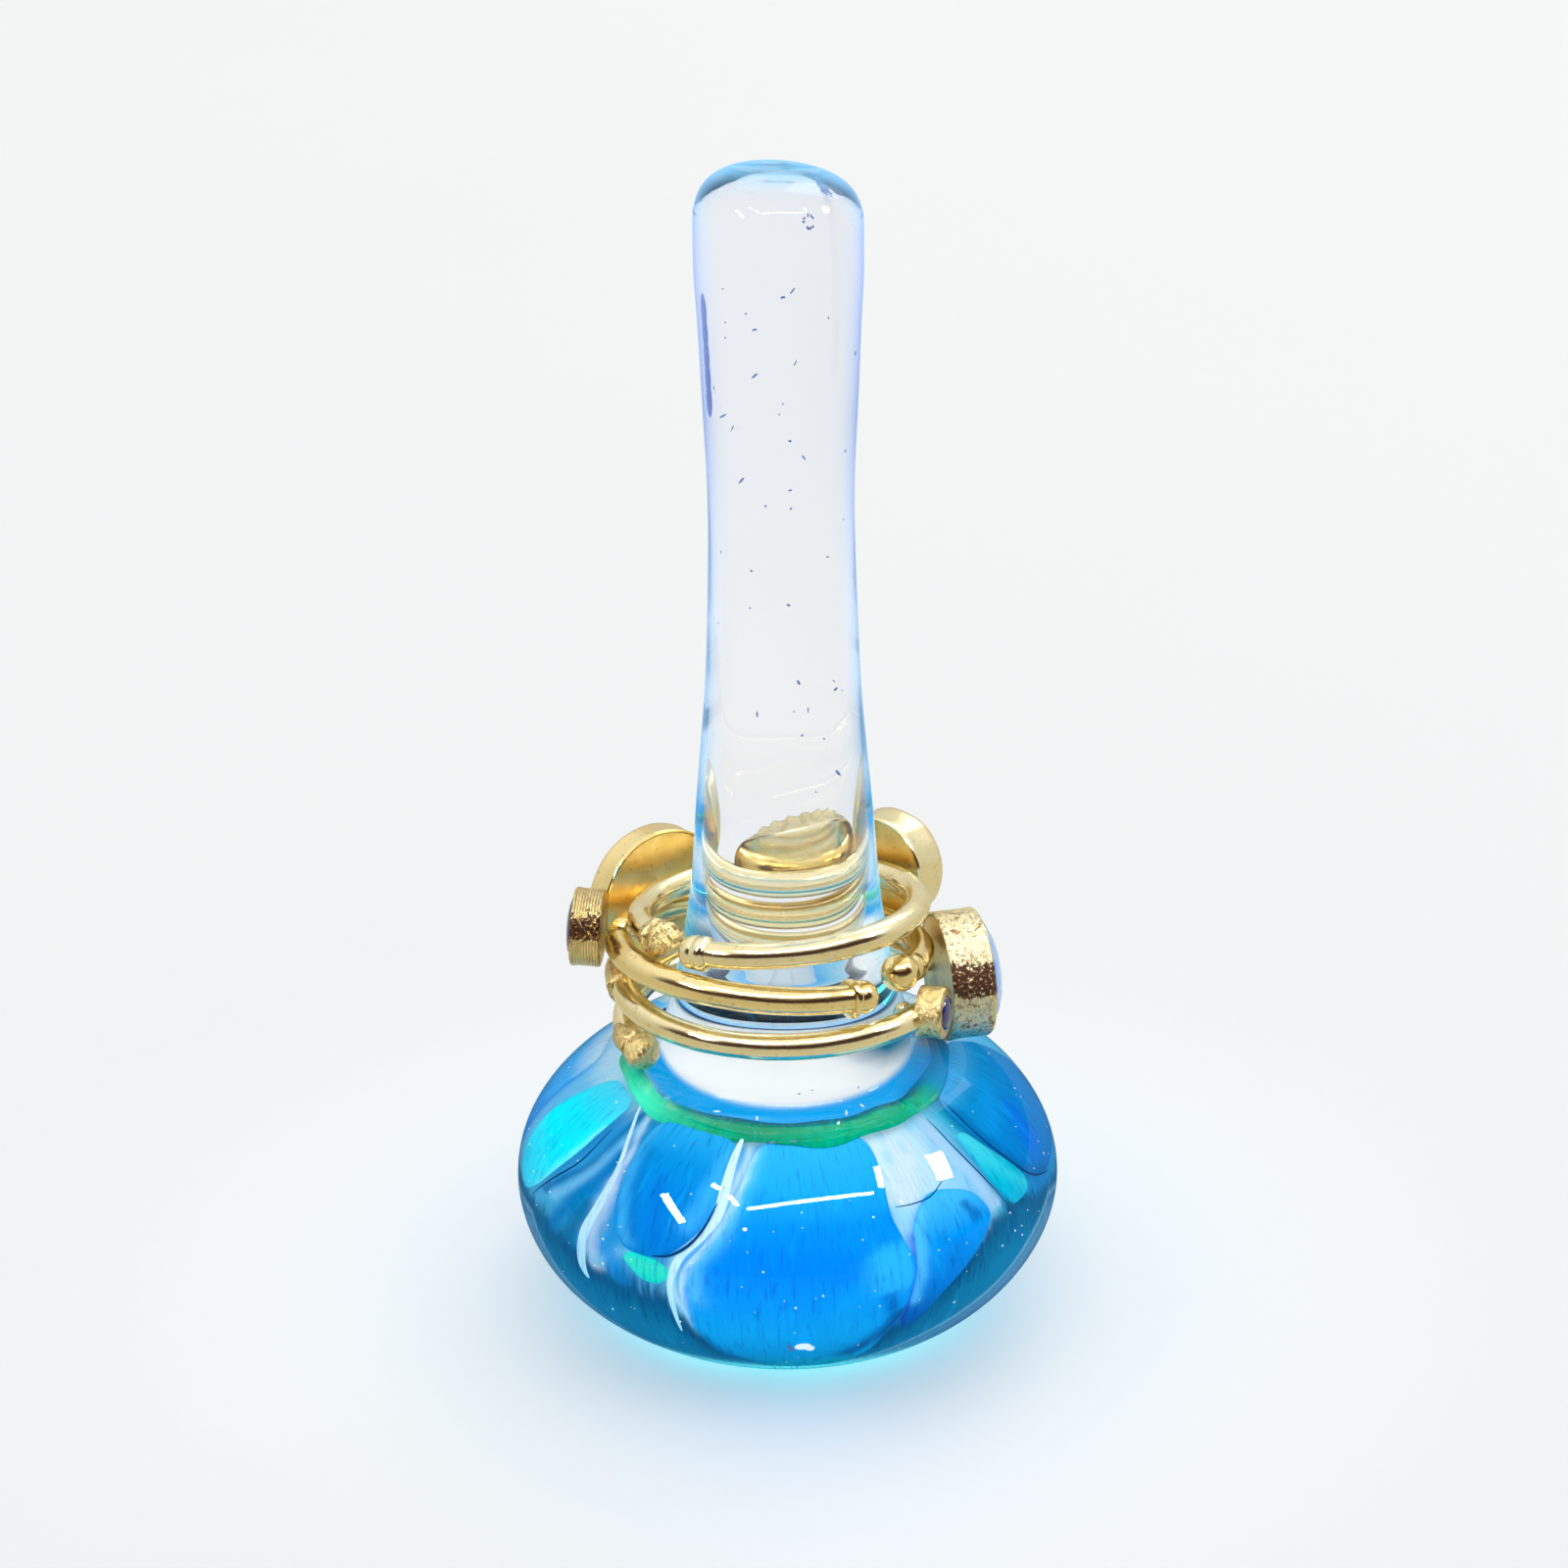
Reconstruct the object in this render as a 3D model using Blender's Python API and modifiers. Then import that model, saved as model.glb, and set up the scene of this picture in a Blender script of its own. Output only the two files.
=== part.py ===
"""A glass ring holder with three open wire rings stacked on its post.

The holder is one hot-worked piece of glass: a squashed round base cased in clear
glass over blue, teal and green petals, and a clear post drawn up from it. Each
ring is a round wire that doesn't close, with a ball melted on each free end, one
large and one small bezel, and a stone in each. Metres, +Z up the post, origin at
the middle of the ground foot.
"""

import math

import bmesh
import bpy
from mathutils import Matrix, Vector

MM = 0.001
CLEARANCE = 0.3 * MM

# Base: a spheroid with its foot ground flat and its crown pressed level.
BASE_RADIUS = 19.0 * MM
BASE_HALF_HEIGHT = 11.8 * MM
BASE_CENTRE_Z = 9.2 * MM
CROWN_Z = 18.35 * MM
COLLAR_RADIUS = 9.35 * MM
CASING_THICKNESS = 1.5 * MM
PETAL_THICKNESS = 1.4 * MM
FOOT_INNER_RADIUS = 9.0 * MM
CORE_TOP_Z = 16.6 * MM
BASE_STEPS = 48

# Post: a collar that flares out of the base, a waist and a bulbous melted top.
POST_TOP_Z = 82.0 * MM
POST_CAP_HEIGHT = 4.9 * MM
POST_CAP_RADIUS = 5.6 * MM
POST_CAP_SQUARENESS = 3.3
POST_SHAPE = [
    (75.0 * MM, 5.6 * MM),
    (66.5 * MM, 5.17 * MM),
    (58.0 * MM, 4.9 * MM),
    (47.5 * MM, 5.25 * MM),
    (37.5 * MM, 6.05 * MM),
    (30.5 * MM, 6.6 * MM),
    (25.5 * MM, 7.4 * MM),
    (21.5 * MM, 8.4 * MM),
    (18.9 * MM, 8.95 * MM),
]
POST_FOOT_Z = CORE_TOP_Z + CLEARANCE
POST_STEPS = 40

# Green glass band round the foot of the post.
BAND_INNER_RADIUS = 9.9 * MM
BAND_OUTER_RADIUS = 11.2 * MM
BAND_BOTTOM_Z = 15.75 * MM
BAND_TOP_Z = 16.75 * MM

# Petals: azimuth and width round the base, latitude range on the spheroid.
PETALS = [
    ("blue_petal_front", 272.75, 56, -36, 42, "blue"),
    ("blue_petal_front_left", 233, 26, 12, 42, "blue"),
    ("green_petal_fleck", 238, 10, -1, 9, "green"),
    ("cyan_petal_left", 197, 28, 0, 42, "cyan"),
    ("blue_petal_left_back", 159, 32, -14, 42, "blue"),
    ("teal_petal_back_left", 120, 34, -28, 42, "teal"),
    ("blue_petal_back", 80, 38, -36, 42, "blue"),
    ("cyan_petal_back_right", 41, 31, -26, 42, "cyan"),
    ("blue_petal_right", 358, 42, -12, 42, "blue"),
    ("teal_petal_right", 328, 12, 12, 36, "teal"),
    ("blue_petal_front_right", 311.5, 17, -20, 30, "blue"),
]
PETAL_GRID = (8, 8)

# Rings. Each stands on the post axis, tilted, and its circle is a slow helix.
BALL_RADIUS = 1.3 * MM
PLATE_THICKNESS = 0.5 * MM
BEZEL_WALL = 0.5 * MM
STONE_RISE = 1.0 * MM
SMALL_STONE_RISE = 0.45 * MM
WIRE_POINT_ANGLE = 8.0
BEZEL_STEPS = 32
STONE_STEPS = 20


class Bezel:
    """A setting: where it sits on its ring, and which way its stone faces."""

    def __init__(self, angle, reach, diameter, depth, rise, turn):
        self.angle = angle
        self.reach = reach * MM
        self.radius = diameter / 2 * MM
        self.depth = depth * MM
        self.rise = rise * MM
        self.turn = turn


class Ring:
    """One ring: its place on the post, its wires, ball ends and two settings."""

    def __init__(self, name, height, shift, tilt, radius, wire, climb, middle):
        self.name = name
        self.height = height * MM
        self.shift = shift * MM
        self.tilt = tilt
        self.radius = radius * MM
        self.wire = wire * MM
        self.climb = climb * MM
        self.middle = middle
        self.wires = {}
        self.balls = {}
        self.bezels = {}
        self.solder = {}

    def point(self, angle, reach=None, rise=0.0):
        """A place on the ring in its own tilted frame."""
        reach = self.radius if reach is None else reach
        turn = math.radians(angle)
        z = self.climb * (angle - self.middle) / 180 + rise
        return Vector((self.shift + reach * math.cos(turn), reach * math.sin(turn), z))


RING_TOP = Ring("ring_top", 29.4, -0.43, (-8.2, -3.4), 9.47, 0.93, 0.2, 50)
RING_TOP.wires = {"shank": (-117, 208)}
RING_TOP.balls = {"cap_end": (-125.5, 1.2), "nugget_end": (216.5, 1.25)}
RING_TOP.bezels = {
    "large": Bezel(53, 11.1, 7.8, 2.9, -0.6, 0),
    "small": Bezel(93, 10.75, 5.0, 2.4, 0.9, 0),
}
RING_TOP.solder = {"solder_bead": (68, 9.75, -1.8, 0.55)}

RING_MIDDLE = Ring("ring_middle", 26.4, -1.09, (-8.9, 4.1), 10.35, 0.98, -0.5, 134)
RING_MIDDLE.wires = {"front_shank": (199, 297), "back_shank": (-24, 162)}
RING_MIDDLE.balls = {"front_ball": (306, 1.25), "side_ball": (-33, 1.3)}
RING_MIDDLE.bezels = {
    "large": Bezel(129, 11.65, 10.4, 2.1, 0.0, -2),
    "small": Bezel(177, 11.45, 5.4, 2.1, 0.6, -2),
}
RING_MIDDLE.solder = {"solder_bead": (180, 10.45, 0.0, 0.6)}

RING_BOTTOM = Ring("ring_bottom", 23.05, -0.34, (-2.9, -2.2), 10.8, 0.93, -1.5, 9)
RING_BOTTOM.wires = {"front_shank": (-176, -40), "back_shank": (34, 199)}
RING_BOTTOM.balls = {"front_ball": (208, 1.3), "hidden_ball": (-185, 1.3)}
RING_BOTTOM.bezels = {
    "large": Bezel(8, 10.95, 9.0, 2.8, -0.15, 11),
    "small": Bezel(-28.5, 10.75, 3.6, 1.8, 0.1, 6),
}
RING_BOTTOM.solder = {"solder_bead": (-30, 9.6, 0.0, 0.6)}

RINGS = [RING_TOP, RING_MIDDLE, RING_BOTTOM]

COLOURS = {
    "clear_glass": ((0.90, 0.95, 1.0), 0.03, 0.0),
    "blue_glass": ((0.02, 0.32, 0.85), 0.08, 0.0),
    "cyan_glass": ((0.05, 0.75, 0.85), 0.08, 0.0),
    "teal_glass": ((0.02, 0.42, 0.52), 0.08, 0.0),
    "green_glass": ((0.02, 0.60, 0.38), 0.08, 0.0),
    "pale_gold": ((0.86, 0.72, 0.42), 0.22, 1.0),
    "warm_gold": ((0.84, 0.60, 0.24), 0.24, 1.0),
    "moonstone": ((0.55, 0.75, 0.98), 0.12, 0.0),
    "sapphire": ((0.02, 0.03, 0.18), 0.08, 0.0),
}


def clear_scene():
    for obj in list(bpy.data.objects):
        bpy.data.objects.remove(obj, do_unlink=True)


def material(name):
    found = bpy.data.materials.get(name)
    if found:
        return found
    colour, roughness, metallic = COLOURS[name]
    made = bpy.data.materials.new(name)
    made.use_nodes = True
    shader = made.node_tree.nodes["Principled BSDF"]
    shader.inputs["Base Color"].default_value = (*colour, 1.0)
    shader.inputs["Roughness"].default_value = roughness
    shader.inputs["Metallic"].default_value = metallic
    return made


def add_object(name, data, finish, parent=None):
    """Link a new object to the model's collection, with its material and parent."""
    obj = bpy.data.objects.new(name, data)
    MODEL.objects.link(obj)
    data.materials.append(material(finish))
    obj.parent = parent
    return obj


def add_empty(name, location, tilt=(0, 0)):
    empty = bpy.data.objects.new(name, None)
    MODEL.objects.link(empty)
    empty.location = location
    empty.rotation_euler = (math.radians(tilt[0]), math.radians(tilt[1]), 0)
    return empty


def turned(name, profile, steps, finish, parent=None, closed=False, smooth=True):
    """A turned solid: the profile of (radius, height) points, screwed round Z."""
    mesh = bpy.data.meshes.new(name)
    bm = bmesh.new()
    verts = [bm.verts.new((radius, 0, height)) for radius, height in profile]
    for first, second in zip(verts, verts[1:]):
        bm.edges.new((first, second))
    if closed:
        bm.edges.new((verts[-1], verts[0]))
    bm.to_mesh(mesh)
    bm.free()
    obj = add_object(name, mesh, finish, parent)
    screw = obj.modifiers.new("Turn", "SCREW")
    screw.axis = "Z"
    screw.angle = math.tau
    screw.steps = steps
    screw.render_steps = steps
    screw.use_merge_vertices = True
    screw.merge_threshold = 0.00001
    screw.use_smooth_shade = smooth
    return obj


def point_along(obj, place, direction):
    """Stand a turned piece at a place with its Z axis along a direction."""
    turn = direction.to_track_quat("Z", "Y").to_matrix().to_4x4()
    obj.matrix_local = Matrix.Translation(place) @ turn


def smooth_curve(points, steps):
    """A Catmull-Rom curve through the points, with this many steps between each two."""
    ends = [points[0], *points, points[-1]]
    curve = []
    for index in range(len(points) - 1):
        before, start, end, after = ends[index : index + 4]
        for step in range(steps):
            t = step / steps
            curve.append(tuple(catmull(before[k], start[k], end[k], after[k], t) for k in (0, 1)))
    return [*curve, points[-1]]


def catmull(a, b, c, d, t):
    slope = (c - a) * t
    bend = (2 * a - 5 * b + 4 * c - d) * t**2
    twist = (3 * b - a - 3 * c + d) * t**3
    return b + (slope + bend + twist) / 2


def spheroid_point(inset, latitude):
    """(radius, height) on the base's spheroid, shrunk by an inset."""
    turn = math.radians(latitude)
    radius = (BASE_RADIUS - inset) * math.cos(turn)
    return radius, BASE_CENTRE_Z + (BASE_HALF_HEIGHT - inset) * math.sin(turn)


def latitude_at(inset, height):
    return math.degrees(math.asin((height - BASE_CENTRE_Z) / (BASE_HALF_HEIGHT - inset)))


def spheroid_arc(inset, start, end, count):
    step = (end - start) / (count - 1)
    return [spheroid_point(inset, start + step * index) for index in range(count)]


def build_post():
    """The clear post: rounded cap, waist, flare, and a plug that enters the casing."""
    power = POST_CAP_SQUARENESS
    cap_base = POST_TOP_Z - POST_CAP_HEIGHT
    profile = []
    for index in range(8):
        turn = math.radians(90 - index * 11)
        radius = POST_CAP_RADIUS * math.cos(turn) ** (2 / power)
        height = cap_base + POST_CAP_HEIGHT * math.sin(turn) ** (2 / power)
        profile.append((radius if index else 0.0, height))
    profile += [(radius, height) for height, radius in smooth_curve(POST_SHAPE, 3)]
    profile += [(POST_SHAPE[-1][1], POST_FOOT_Z), (0.0, POST_FOOT_Z)]
    turned("post", profile, POST_STEPS, "clear_glass", HOLDER)


def build_casing():
    """The clear outer casing: open at the crown for the post and at the foot for the core."""
    foot = latitude_at(0, 0)
    crown = latitude_at(0, CROWN_Z)
    inset = CASING_THICKNESS
    outer = spheroid_arc(0, crown, foot, 17)
    inner = spheroid_arc(inset, latitude_at(inset, 1.6 * MM), latitude_at(inset, CROWN_Z - 1.2 * MM), 15)
    lip = [(COLLAR_RADIUS, CROWN_Z - 1.2 * MM), (COLLAR_RADIUS, CROWN_Z)]
    foot_ring = [(FOOT_INNER_RADIUS + CLEARANCE, 0.0), (FOOT_INNER_RADIUS + CLEARANCE, 0.8 * MM)]
    profile = outer + foot_ring + inner + lip
    turned("base_casing", profile, BASE_STEPS, "clear_glass", HOLDER, closed=True)


def build_core():
    """The clear gather in the middle of the base, with the ground foot under it."""
    inset = CASING_THICKNESS + PETAL_THICKNESS + 2 * CLEARANCE
    top = latitude_at(inset, CORE_TOP_Z)
    neck = -math.degrees(math.acos(FOOT_INNER_RADIUS / (BASE_RADIUS - inset)))
    profile = [(0.0, CORE_TOP_Z), *spheroid_arc(inset, top, neck, 12)]
    profile += [(FOOT_INNER_RADIUS, 0.0), (0.0, 0.0)]
    turned("base_core", profile, BASE_STEPS, "clear_glass", HOLDER)


def build_green_band():
    profile = [
        (BAND_OUTER_RADIUS, BAND_TOP_Z),
        (BAND_OUTER_RADIUS, BAND_BOTTOM_Z),
        (BAND_INNER_RADIUS, BAND_BOTTOM_Z),
        (BAND_INNER_RADIUS, BAND_TOP_Z),
    ]
    turned("green_collar_band", profile, BASE_STEPS, "green_glass", HOLDER, closed=True)


def build_petal(name, azimuth, width, low, high, colour):
    """A petal of coloured glass: a rounded patch of the spheroid, given thickness."""
    inset = CASING_THICKNESS + CLEARANCE
    mesh = bpy.data.meshes.new(name)
    bm = bmesh.new()
    columns, rows = PETAL_GRID
    bmesh.ops.create_grid(bm, x_segments=columns, y_segments=rows, size=1.0)
    for vert in bm.verts:
        across = vert.co.x * math.sqrt(1 - vert.co.y**2 / 2)
        along = vert.co.y * math.sqrt(1 - vert.co.x**2 / 2)
        turn = math.radians(azimuth + across * width / 2)
        radius, height = spheroid_point(inset, (low + high) / 2 + along * (high - low) / 2)
        vert.co = (radius * math.cos(turn), radius * math.sin(turn), height)
    bm.to_mesh(mesh)
    bm.free()
    obj = add_object(name, mesh, f"{colour}_glass", HOLDER)
    solid = obj.modifiers.new("Thickness", "SOLIDIFY")
    solid.thickness = PETAL_THICKNESS
    solid.offset = -1
    mesh.shade_smooth()


def build_wire(ring, name, start, end, parent, finish):
    """A stretch of a ring's round wire, as a bevelled curve with closed ends."""
    curve = bpy.data.curves.new(name, "CURVE")
    curve.dimensions = "3D"
    curve.bevel_depth = ring.wire
    curve.bevel_resolution = 2
    curve.use_fill_caps = True
    spline = curve.splines.new("POLY")
    count = round(abs(end - start) / WIRE_POINT_ANGLE) + 1
    spline.points.add(count - 1)
    for index, point in enumerate(spline.points):
        angle = start + (end - start) * index / (count - 1)
        point.co = (*ring.point(angle), 1.0)
    add_object(name, curve, finish, parent)


def build_ball(name, place, radius, parent, finish):
    mesh = bpy.data.meshes.new(name)
    bm = bmesh.new()
    bmesh.ops.create_uvsphere(bm, u_segments=16, v_segments=9, radius=radius)
    bm.to_mesh(mesh)
    bm.free()
    mesh.shade_smooth()
    add_object(name, mesh, finish, parent).location = place


def facing(bezel):
    turn = math.radians(bezel.angle + bezel.turn)
    return Vector((math.cos(turn), math.sin(turn), 0))


def build_large_setting(ring, bezel, parent, finish):
    """Back plate, bezel wall and faceted stone, stacked outward from the wire."""
    place = ring.point(bezel.angle, bezel.reach, bezel.rise)
    plate = [
        (0.0, PLATE_THICKNESS),
        (bezel.radius, PLATE_THICKNESS),
        (bezel.radius, 0.0),
        (0.0, 0.0),
    ]
    base = PLATE_THICKNESS + CLEARANCE
    inner = bezel.radius - BEZEL_WALL
    wall = [(bezel.radius, bezel.depth), (bezel.radius, base), (inner, base), (inner, bezel.depth)]
    girdle = inner - CLEARANCE
    top = bezel.depth + STONE_RISE
    stone = [
        (0.0, top),
        (girdle * 0.5, top - STONE_RISE * 0.2),
        (girdle * 0.85, bezel.depth + STONE_RISE * 0.25),
        (girdle, bezel.depth - 0.2 * MM),
        (girdle, base),
        (0.0, base),
    ]
    for piece, profile, steps, closed, coat in (
        ("back_plate", plate, BEZEL_STEPS, False, finish),
        ("bezel_wall", wall, BEZEL_STEPS, True, finish),
        ("moonstone", stone, STONE_STEPS, False, "moonstone"),
    ):
        obj = turned(f"{ring.name}_{piece}", profile, steps, coat, parent, closed, smooth=False)
        point_along(obj, place, facing(bezel))


def build_small_setting(ring, bezel, parent, finish):
    """A little cup with a dark stone in it."""
    place = ring.point(bezel.angle, bezel.reach, bezel.rise)
    inner = bezel.radius - BEZEL_WALL
    cup = [
        (0.0, PLATE_THICKNESS),
        (inner, PLATE_THICKNESS),
        (inner, bezel.depth),
        (bezel.radius, bezel.depth),
        (bezel.radius, 0.0),
        (0.0, 0.0),
    ]
    base = PLATE_THICKNESS + CLEARANCE
    girdle = inner - CLEARANCE
    stone = [
        (0.0, bezel.depth + SMALL_STONE_RISE),
        (girdle * 0.6, bezel.depth + SMALL_STONE_RISE * 0.7),
        (girdle, bezel.depth - 0.1 * MM),
        (girdle, base),
        (0.0, base),
    ]
    for piece, profile, coat in (("accent_cup", cup, finish), ("sapphire", stone, "sapphire")):
        obj = turned(f"{ring.name}_{piece}", profile, STONE_STEPS, coat, parent, smooth=False)
        point_along(obj, place, facing(bezel))


def build_ring(ring):
    """Every piece of one ring, under an empty that stands on the post's axis."""
    finish = "warm_gold" if ring is RING_MIDDLE else "pale_gold"
    carrier = add_empty(f"{ring.name}_carrier", (0, 0, ring.height), ring.tilt)
    for piece, (start, end) in ring.wires.items():
        build_wire(ring, f"{ring.name}_{piece}", start, end, carrier, finish)
    for piece, (angle, radius) in ring.balls.items():
        build_ball(f"{ring.name}_{piece}", ring.point(angle), radius * MM, carrier, finish)
    for piece, (angle, reach, rise, radius) in ring.solder.items():
        place = ring.point(angle, reach * MM, rise * MM)
        build_ball(f"{ring.name}_{piece}", place, radius * MM, carrier, finish)
    build_large_setting(ring, ring.bezels["large"], carrier, finish)
    build_small_setting(ring, ring.bezels["small"], carrier, finish)


clear_scene()
MODEL = bpy.data.collections.new("glass_ring_holder")
bpy.context.scene.collection.children.link(MODEL)
HOLDER = add_empty("holder", (0, 0, 0))
build_post()
build_casing()
build_core()
build_green_band()
for petal in PETALS:
    build_petal(*petal)
for stacked in RINGS:
    build_ring(stacked)
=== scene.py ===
"""The finished look of a glass ring holder with three open gold rings on its post.

Every piece is built in the row frame, in metres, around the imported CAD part: one
clear glass body over coloured petals and a pale gather, and for each ring its
wires, melted ends, solder, settings and stones. The pieces ride on their bodies.
"""

import math
import random

import bmesh
import bpy
import numpy as np
from mathutils import Euler, Matrix, Vector, noise


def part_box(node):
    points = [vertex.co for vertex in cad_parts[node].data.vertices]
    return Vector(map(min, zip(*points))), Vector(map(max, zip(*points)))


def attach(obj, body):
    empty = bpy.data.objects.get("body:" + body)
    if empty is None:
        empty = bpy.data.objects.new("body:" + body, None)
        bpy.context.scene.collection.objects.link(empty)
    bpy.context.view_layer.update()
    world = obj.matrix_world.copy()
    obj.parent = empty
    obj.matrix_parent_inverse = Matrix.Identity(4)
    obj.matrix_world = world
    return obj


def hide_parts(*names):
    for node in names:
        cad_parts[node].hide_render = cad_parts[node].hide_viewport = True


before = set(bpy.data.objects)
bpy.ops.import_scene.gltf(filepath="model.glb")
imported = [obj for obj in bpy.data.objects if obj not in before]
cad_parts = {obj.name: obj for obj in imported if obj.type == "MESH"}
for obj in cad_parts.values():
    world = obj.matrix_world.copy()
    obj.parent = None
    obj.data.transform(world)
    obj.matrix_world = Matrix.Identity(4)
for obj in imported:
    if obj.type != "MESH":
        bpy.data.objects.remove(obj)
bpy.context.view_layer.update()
HOLDER_BODY = "glass_holder"
MM = 0.001

# ---------------------------------------------------------------- driving sizes

# The base's radius is the CAD casing's; its centre and half height are the part's sizes.
CASING_LOW, CASING_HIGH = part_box("base_casing")
POST_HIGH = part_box("post")[1]
BASE_RADIUS = (CASING_HIGH.x - CASING_LOW.x) / 2
BASE_HALF_HEIGHT = 11.8 * MM
BASE_CENTRE_Z = 9.2 * MM
CROWN_LATITUDE = 50
FLARE_Z = 19.6 * MM
FOOT = 11.6 * MM
CAP_HEIGHT = 4.9 * MM
CAP_SQUARENESS = 3.3
CAP_LEAN_FROM_Z = POST_HIGH.z - 9 * MM
CAP_DROP = 0.8 * MM
GLASS_TURNS, CAP_ROWS, STEPS_PER_KNOT = 144, 12, 4
# Strength of the painted glow of the coloured glass, standing in for the light that reaches it through the clear
# glass.
PAINT_GLOW = 0.32
ROOM_LIGHT = 0.98

# Coloured layers under the clear glass, as depths below the spheroid.
PETAL_DEPTH = 1.6 * MM
PETAL_BODY = 0.8 * MM
LENS_DEPTH = 1.3 * MM
LENS_BODY = 0.25 * MM
SEAM_DEPTH = 1.15 * MM
CORE_DEPTH = 2.6 * MM
GATHER_FOOT = 0.6 * MM
BAND_DEPTH = 1.7 * MM
WELD = 0.004 * MM
PETAL_STREAKS = 0.35
TOP_LENSES = ("blue_petal_front_left", "cyan_petal_left", "green_petal_fleck")

# Petals: rows of (latitude, left azimuth, right azimuth), bottom to top.
PETAL_ROWS = {
    "blue_petal_front": [
        (-41, 262, 286), (-32, 253, 290), (-21, 249, 293), (-12, 247, 296), (-2, 245.5, 298), (7, 246, 299),
        (16, 250, 297), (25, 253.5, 295.5), (35, 256.5, 296.5), (45, 258.5, 297.5), (51, 259, 297.5)],
    "blue_petal_front_left": [
        (9, 232, 240), (13, 229, 244), (22, 226, 249.5), (33, 224.5, 252.5), (42, 223.5, 253.5), (50, 224, 254)],
    "green_petal_fleck": [(0, 237.5, 241), (3, 234, 243), (6, 232, 243.5), (9, 233, 240)],
    "cyan_petal_left": [
        (3, 186, 193), (10, 183, 198.5), (18, 183, 202.5), (28, 184, 206.5), (38, 187, 208.5), (49, 191, 210)],
    "blue_petal_left_back": [(-14, 148, 168), (0, 144, 173), (18, 143, 175), (32, 145, 175), (43, 148, 173)],
    "teal_petal_back_left": [(-28, 110, 130), (-10, 104, 135), (12, 103, 137), (32, 105, 136), (43, 108, 133)],
    "blue_petal_back": [(-38, 68, 92), (-18, 62, 97), (8, 60, 99), (30, 63, 97), (43, 68, 94)],
    "cyan_petal_back_right": [(-26, 32, 51), (-8, 26, 55), (14, 25, 56), (32, 27, 55), (43, 31, 52)],
    "blue_petal_right": [
        (6, 348, 368), (13, 340, 378), (20, 335.5, 379.5), (27, 333, 380), (40, 330, 377), (50, 331, 371)],
    "teal_petal_right": [(9, 330, 337), (14, 328, 338), (21, 326, 335.5), (30, 325, 331.5), (38, 325, 328.5)],
    "blue_petal_front_right": [
        (-19, 295.5, 300), (-8, 297.5, 306), (3, 299, 316), (11, 299.5, 321.5), (18, 300, 320.5), (23, 302.5, 317.5),
        (27, 306, 311)],
}

# Thin trails of white glass over the joins between the front petals, in the same terms.
VEIN_ROWS = {
    "white_vein_front": [
        (-18, 245.3, 246), (-8, 244.2, 245.4), (2, 243.4, 244.9), (12, 244.8, 247.0), (19, 248.3, 250.9),
        (27, 251.6, 254.4), (36, 252.2, 255), (44, 252.8, 255.2), (50, 254, 255.8)],
    "white_vein_left": [
        (-8, 221.2, 222.6), (-3, 219, 221.6), (8, 218.8, 221.6), (20, 221, 223.4), (32, 221.4, 223),
        (42, 217.4, 218.8), (49, 212.4, 213.6)],
}

# Rings: height, sideways shift, tilt, wire circle radius, wire radius, climb in half a
# turn and the angle where the helix is level, all as in the CAD part.
RINGS = {
    "ring_top": (29.4, -0.43, (-8.2, -3.4), 9.47, 0.93, 0.2, 50),
    "ring_middle": (26.4, -1.09, (-8.9, 4.1), 10.35, 0.98, -0.5, 134),
    "ring_bottom": (23.05, -0.34, (-2.9, -2.2), 10.8, 0.93, -1.5, 9),
}
# Wires: start angle, end angle. Each runs on into the ball or setting at its ends.
WIRES = {
    "ring_top_shank": (-124, 215),
    "ring_middle_front_shank": (182, 303),
    "ring_middle_back_shank": (-31, 172),
    "ring_bottom_front_shank": (-176, -32),
    "ring_bottom_back_shank": (24, 206),
}
# Melted ends: angle, radius in mm, kind of end, and which way its neck points.
BALLS = {
    "ring_top_cap_end": (-125.5, 1.2, "cap", 1),
    "ring_top_nugget_end": (216.5, 1.28, "nugget", -1),
    "ring_middle_front_ball": (306, 1.18, "collared", -1),
    "ring_middle_side_ball": (-33, 1.3, "round", 1),
    "ring_bottom_front_ball": (208, 1.3, "drop", -1),
    "ring_bottom_hidden_ball": (-185, 1.3, "drop", 1),
}
# Settings: angle, reach, diameter, depth, rise (mm) and turn of the face (degrees).
LARGE_SETTINGS = {
    "ring_top": (53, 11.1, 7.8, 2.9, -0.6, 0),
    "ring_middle": (129, 11.65, 10.4, 2.1, 0.0, -2),
    "ring_bottom": (8, 10.95, 9.0, 3.1, -0.15, 5),
}
SMALL_SETTINGS = {
    "ring_top": (93, 10.75, 5.0, 2.4, 0.9, 0),
    "ring_middle": (177, 11.45, 5.4, 2.1, 0.6, -2),
    "ring_bottom": (-28.5, 10.75, 3.6, 1.8, 0.1, 12),
}
SOLDER = {
    "ring_top": (68, 9.75, -1.8, 0.55),
    "ring_middle": (180, 10.45, 0.0, 0.6),
    "ring_bottom": (-30, 9.6, 0.0, 0.6),
}
# Settings' back plate, wall and the gap over the plate, and the innermost radius, in mm.
PLATE, WALL, GAP, AXIS = 0.5, 0.5, 0.3, 0.02
FACETS, FLUTES = 12, 22
WIRE_STEP, WIRE_SIDES, BALL_SIDES = 2.5, 24, 40  # the step in degrees
SHARP_ANGLE = math.radians(50)

# ---------------------------------------------------------------- shader helpers


def rgb(red, green, blue):
    """A display colour of 0 to 255 as a linear colour."""
    return tuple(channel_to_linear(channel / 255) for channel in (red, green, blue)) + (1.0,)


def channel_to_linear(value):
    return value / 12.92 if value <= 0.04045 else ((value + 0.055) / 1.055) ** 2.4


def grey(level):
    return (level, level, level, 1.0)


def darker(colour, share):
    return tuple(channel * share for channel in colour[:3]) + (1.0,)


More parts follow.
